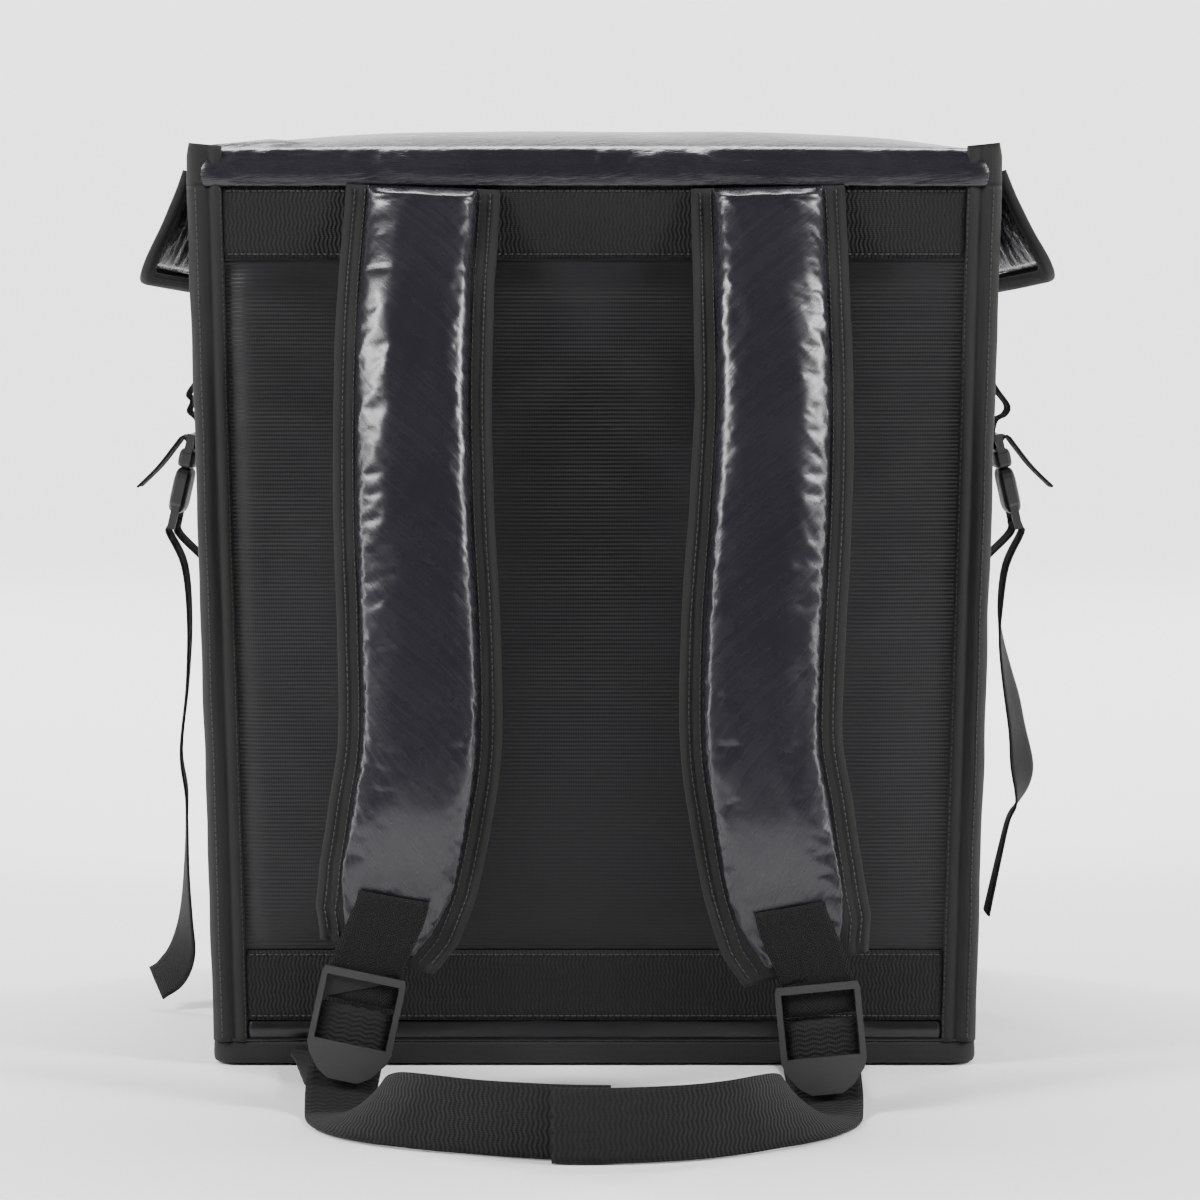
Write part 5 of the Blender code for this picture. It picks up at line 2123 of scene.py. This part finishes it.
    def half_buckle(
        self,
        name: str,
        rails: tuple[float, float],
        bar: float,
        block: tuple[float, float],
        finishes: Finishes,
    ) -> None:
        """Makes the plug or the socket.

        Args:
            name: The node that it replaces.
            rails: Where its side rails start and end.
            bar: Where its bar starts.
            block: Where its block starts and ends.
            finishes: The bag's finishes.
        """
        half = self.width / 2
        thick = self.thickness / 2
        parts = [self.block(block[0], block[1], True)]
        for sign in (-1, 1):
            low, high = sorted((sign * (half - self.rail), sign * (half - 0.0004)))
            parts.append(self.beam(low, high, rails[0], rails[1], -thick * 0.5, thick * 0.45))
        level = self.bar_thickness / 2
        parts.append(self.beam(-half + 0.001, half - 0.001, bar, bar + self.bar, -level, level))
        piece = joined(f"{name}_moulded", parts, [], finishes.plastic)
        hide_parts(name)
        soften(piece, 0.0004, 2)

    def build(self, finishes: Finishes, stitches: Stitching) -> None:
        """Makes the webbing and both halves of the buckle."""
        size = self.sizes
        word = self.side.word
        bar = self.socket_bar
        block_to = bar - 0.0065
        self.half_buckle(
            f"side_plug_{word}", (0.0, 0.012), 0.0, (self.block_from, self.plug_length), finishes
        )
        self.half_buckle(
            f"side_socket_{word}",
            (block_to - 0.004, self.length),
            bar,
            (self.plug_length + size.gap, block_to),
            finishes,
        )
        for part, line in (("upper", self.upper_line()), ("lower", self.lower_line())):
            place = webbing_piece(
                f"side_webbing_{part}_{word}",
                line,
                size.side_webbing_width,
                size.side_webbing_thickness,
                finishes.narrow,
                [f"side_strap_{part}_{word}"],
                8,
                0.0018,
            )
            lift = size.side_webbing_thickness / 2 + 0.0001
            out = line.at(0.02)[2]
            lift = lift if out.x * self.side.value > 0 else -lift
            reach = 0.016 / line.length
            corners = ((0.1, 0.012), (0.9, 0.012), (0.9, reach * 1.6), (0.1, 0.012), (0.1, reach * 1.6))
            for start, end in zip(corners, corners[1:]):
                stitches.row(place, start, end, lift)


@dataclass(frozen=True)
class Lamp:
    """One soft rectangular light."""

    name: str
    spot: tuple[float, float, float]
    target: tuple[float, float, float]
    width: float
    height: float
    power: float


@dataclass
class Studio:
    """Floor, lights and camera."""

    focal: float = 106.3
    pitch: float = math.radians(4.33)
    eye: tuple[float, float, float] = (0.003, -2.06, 0.397)
    lamps: tuple[Lamp, ...] = (
        Lamp("key_left", (-2.1, -1.3, 2.1), (0.0, -0.1, 0.3), 0.7, 1.3, 100.0),
        Lamp("key_right", (2.2, -1.2, 2.0), (0.0, -0.1, 0.3), 0.5, 1.2, 85.0),
        Lamp("low_left", (-2.2, -0.8, 0.7), (0.0, -0.2, 0.25), 0.25, 1.2, 16.0),
        Lamp("low_right", (2.2, -0.8, 0.7), (0.0, -0.2, 0.25), 0.25, 1.2, 14.0),
        Lamp("overhead", (0.0, 1.1, 2.6), (0.0, 0.0, 0.3), 1.8, 0.9, 90.0),
        Lamp("back_wash_left", (-2.6, 2.4, 2.2), (0.6, 4.6, 0.6), 1.5, 1.5, 230.0),
        Lamp("back_wash_right", (2.6, 2.4, 2.2), (-0.6, 4.6, 0.6), 1.5, 1.5, 230.0),
    )

    def floor(self, finishes: Finishes) -> None:
        """Lays the pale floor, curved up far behind."""
        data = bmesh.new()
        bmesh.ops.create_grid(data, x_segments=2, y_segments=40, size=0.5)
        for vert in data.verts:
            x = vert.co.x * 16
            run = (vert.co.y + 0.5) * 14 - 5
            bend = max(run - 4.0, 0.0)
            turn = min(bend / 1.6, math.pi / 2)
            y = min(run, 4.0) + 1.6 * math.sin(turn)
            z = 1.6 * (1 - math.cos(turn)) + max(bend - 1.6 * math.pi / 2, 0.0)
            vert.co = Vector((x, y, z))
        bmesh.ops.recalc_face_normals(data, faces=data.faces)
        mesh = bpy.data.meshes.new("studio_floor")
        for face in data.faces:
            face.smooth = True
        data.to_mesh(mesh)
        data.free()
        mesh.materials.append(finishes.paper)
        made = bpy.data.objects.new("studio_floor", mesh)
        bpy.context.scene.collection.objects.link(made)

    def light(self) -> None:
        """Hangs the lamps and sets the room's own light."""
        for lamp in self.lamps:
            data = bpy.data.lights.new(lamp.name, "AREA")
            data.shape = "RECTANGLE"
            data.size = lamp.width
            data.size_y = lamp.height
            data.energy = lamp.power
            made = bpy.data.objects.new(lamp.name, data)
            made.location = lamp.spot
            way = Vector(lamp.target) - Vector(lamp.spot)
            made.rotation_euler = way.to_track_quat("-Z", "Y").to_euler()
            bpy.context.scene.collection.objects.link(made)
        world = bpy.data.worlds.new("studio_air")
        world.use_nodes = True
        air = world.node_tree.nodes["Background"]
        air.inputs["Color"].default_value = (1.0, 1.0, 1.0, 1.0)
        air.inputs["Strength"].default_value = 0.14
        bpy.context.scene.world = world

    def camera(self) -> None:
        """Sets the camera at the photograph's angle."""
        data = bpy.data.cameras.new("view")
        data.lens = self.focal
        data.sensor_width = 36.0
        data.clip_start = 0.05
        data.clip_end = 60.0
        made = bpy.data.objects.new("view", data)
        made.location = self.eye
        made.rotation_euler = (math.pi / 2 - self.pitch, 0.0, 0.0)
        bpy.context.scene.collection.objects.link(made)
        bpy.context.scene.camera = made

    def build(self, finishes: Finishes) -> None:
        """Sets up the whole studio."""
        self.camera()
        self.floor(finishes)
        self.light()


def wings(sizes: Sizes) -> list[HangingPanel]:
    """The lid's two wings and its front apron."""
    found = []
    out = sizes.top_width / 2 + sizes.gap + sizes.wing_thickness / 2 + 0.0008
    for side, flare in ((Side.LEFT, 22), (Side.RIGHT, 25)):
        sign = side.value
        hanging = Hanging(
            Vector((sign * out, -sizes.wing_depth / 2, sizes.wing_top)),
            Vector((0, 1, 0)),
            Vector((sign, 0, 0)),
            sizes.wing_depth,
            sizes.wing_hang,
            math.radians(flare),
            math.radians(10),
        )
        found.append(HangingPanel(f"lid_wing_{side.word}", hanging, 11.0 + sign))
    out = sizes.bag_depth / 2 + sizes.gap + sizes.wing_thickness / 2 + 0.0008
    hanging = Hanging(
        Vector((-sizes.apron_width / 2, out, sizes.wing_top)),
        RIGHT,
        Vector((0, 1, 0)),
        sizes.apron_width,
        sizes.wing_hang,
        math.radians(7),
        math.radians(7),
    )
    found.append(HangingPanel("lid_apron_front", hanging, 17.0))
    return found


def main() -> None:
    """Builds every class in order and reports its pieces."""
    logging.basicConfig(level=logging.INFO, format="%(message)s")
    finishes = Finishes()
    Studio().build(finishes)
    bench = ClothBench()
    stitches = Stitching("stitches_tape")
    PaddedBox().build(finishes)
    BackTrim().build(finishes, stitches)
    BoundEdges().build(finishes, stitches)
    lid = Lid()
    cover = lid.build(finishes, bench)
    for panel in wings(SIZES):
        panel.build(finishes, stitches)
    straps = [ShoulderStrap(side) for side in Side]
    covers = [strap.build(finishes, bench, stitches) for strap in straps]
    for strap in straps:
        StrapEnd(strap.side, strap).build(finishes, stitches)
    for side in Side:
        SideFastening(side).build(finishes, stitches)
    stitches.finish(finishes.thread, Slot.TAPE)
    bench.run()
    lid.close(cover)
    for strap, pad in zip(straps, covers):
        strap.close(pad)
    LOG.info("stitches: %d", stitches.count)


if __name__ == "__main__":
    main()
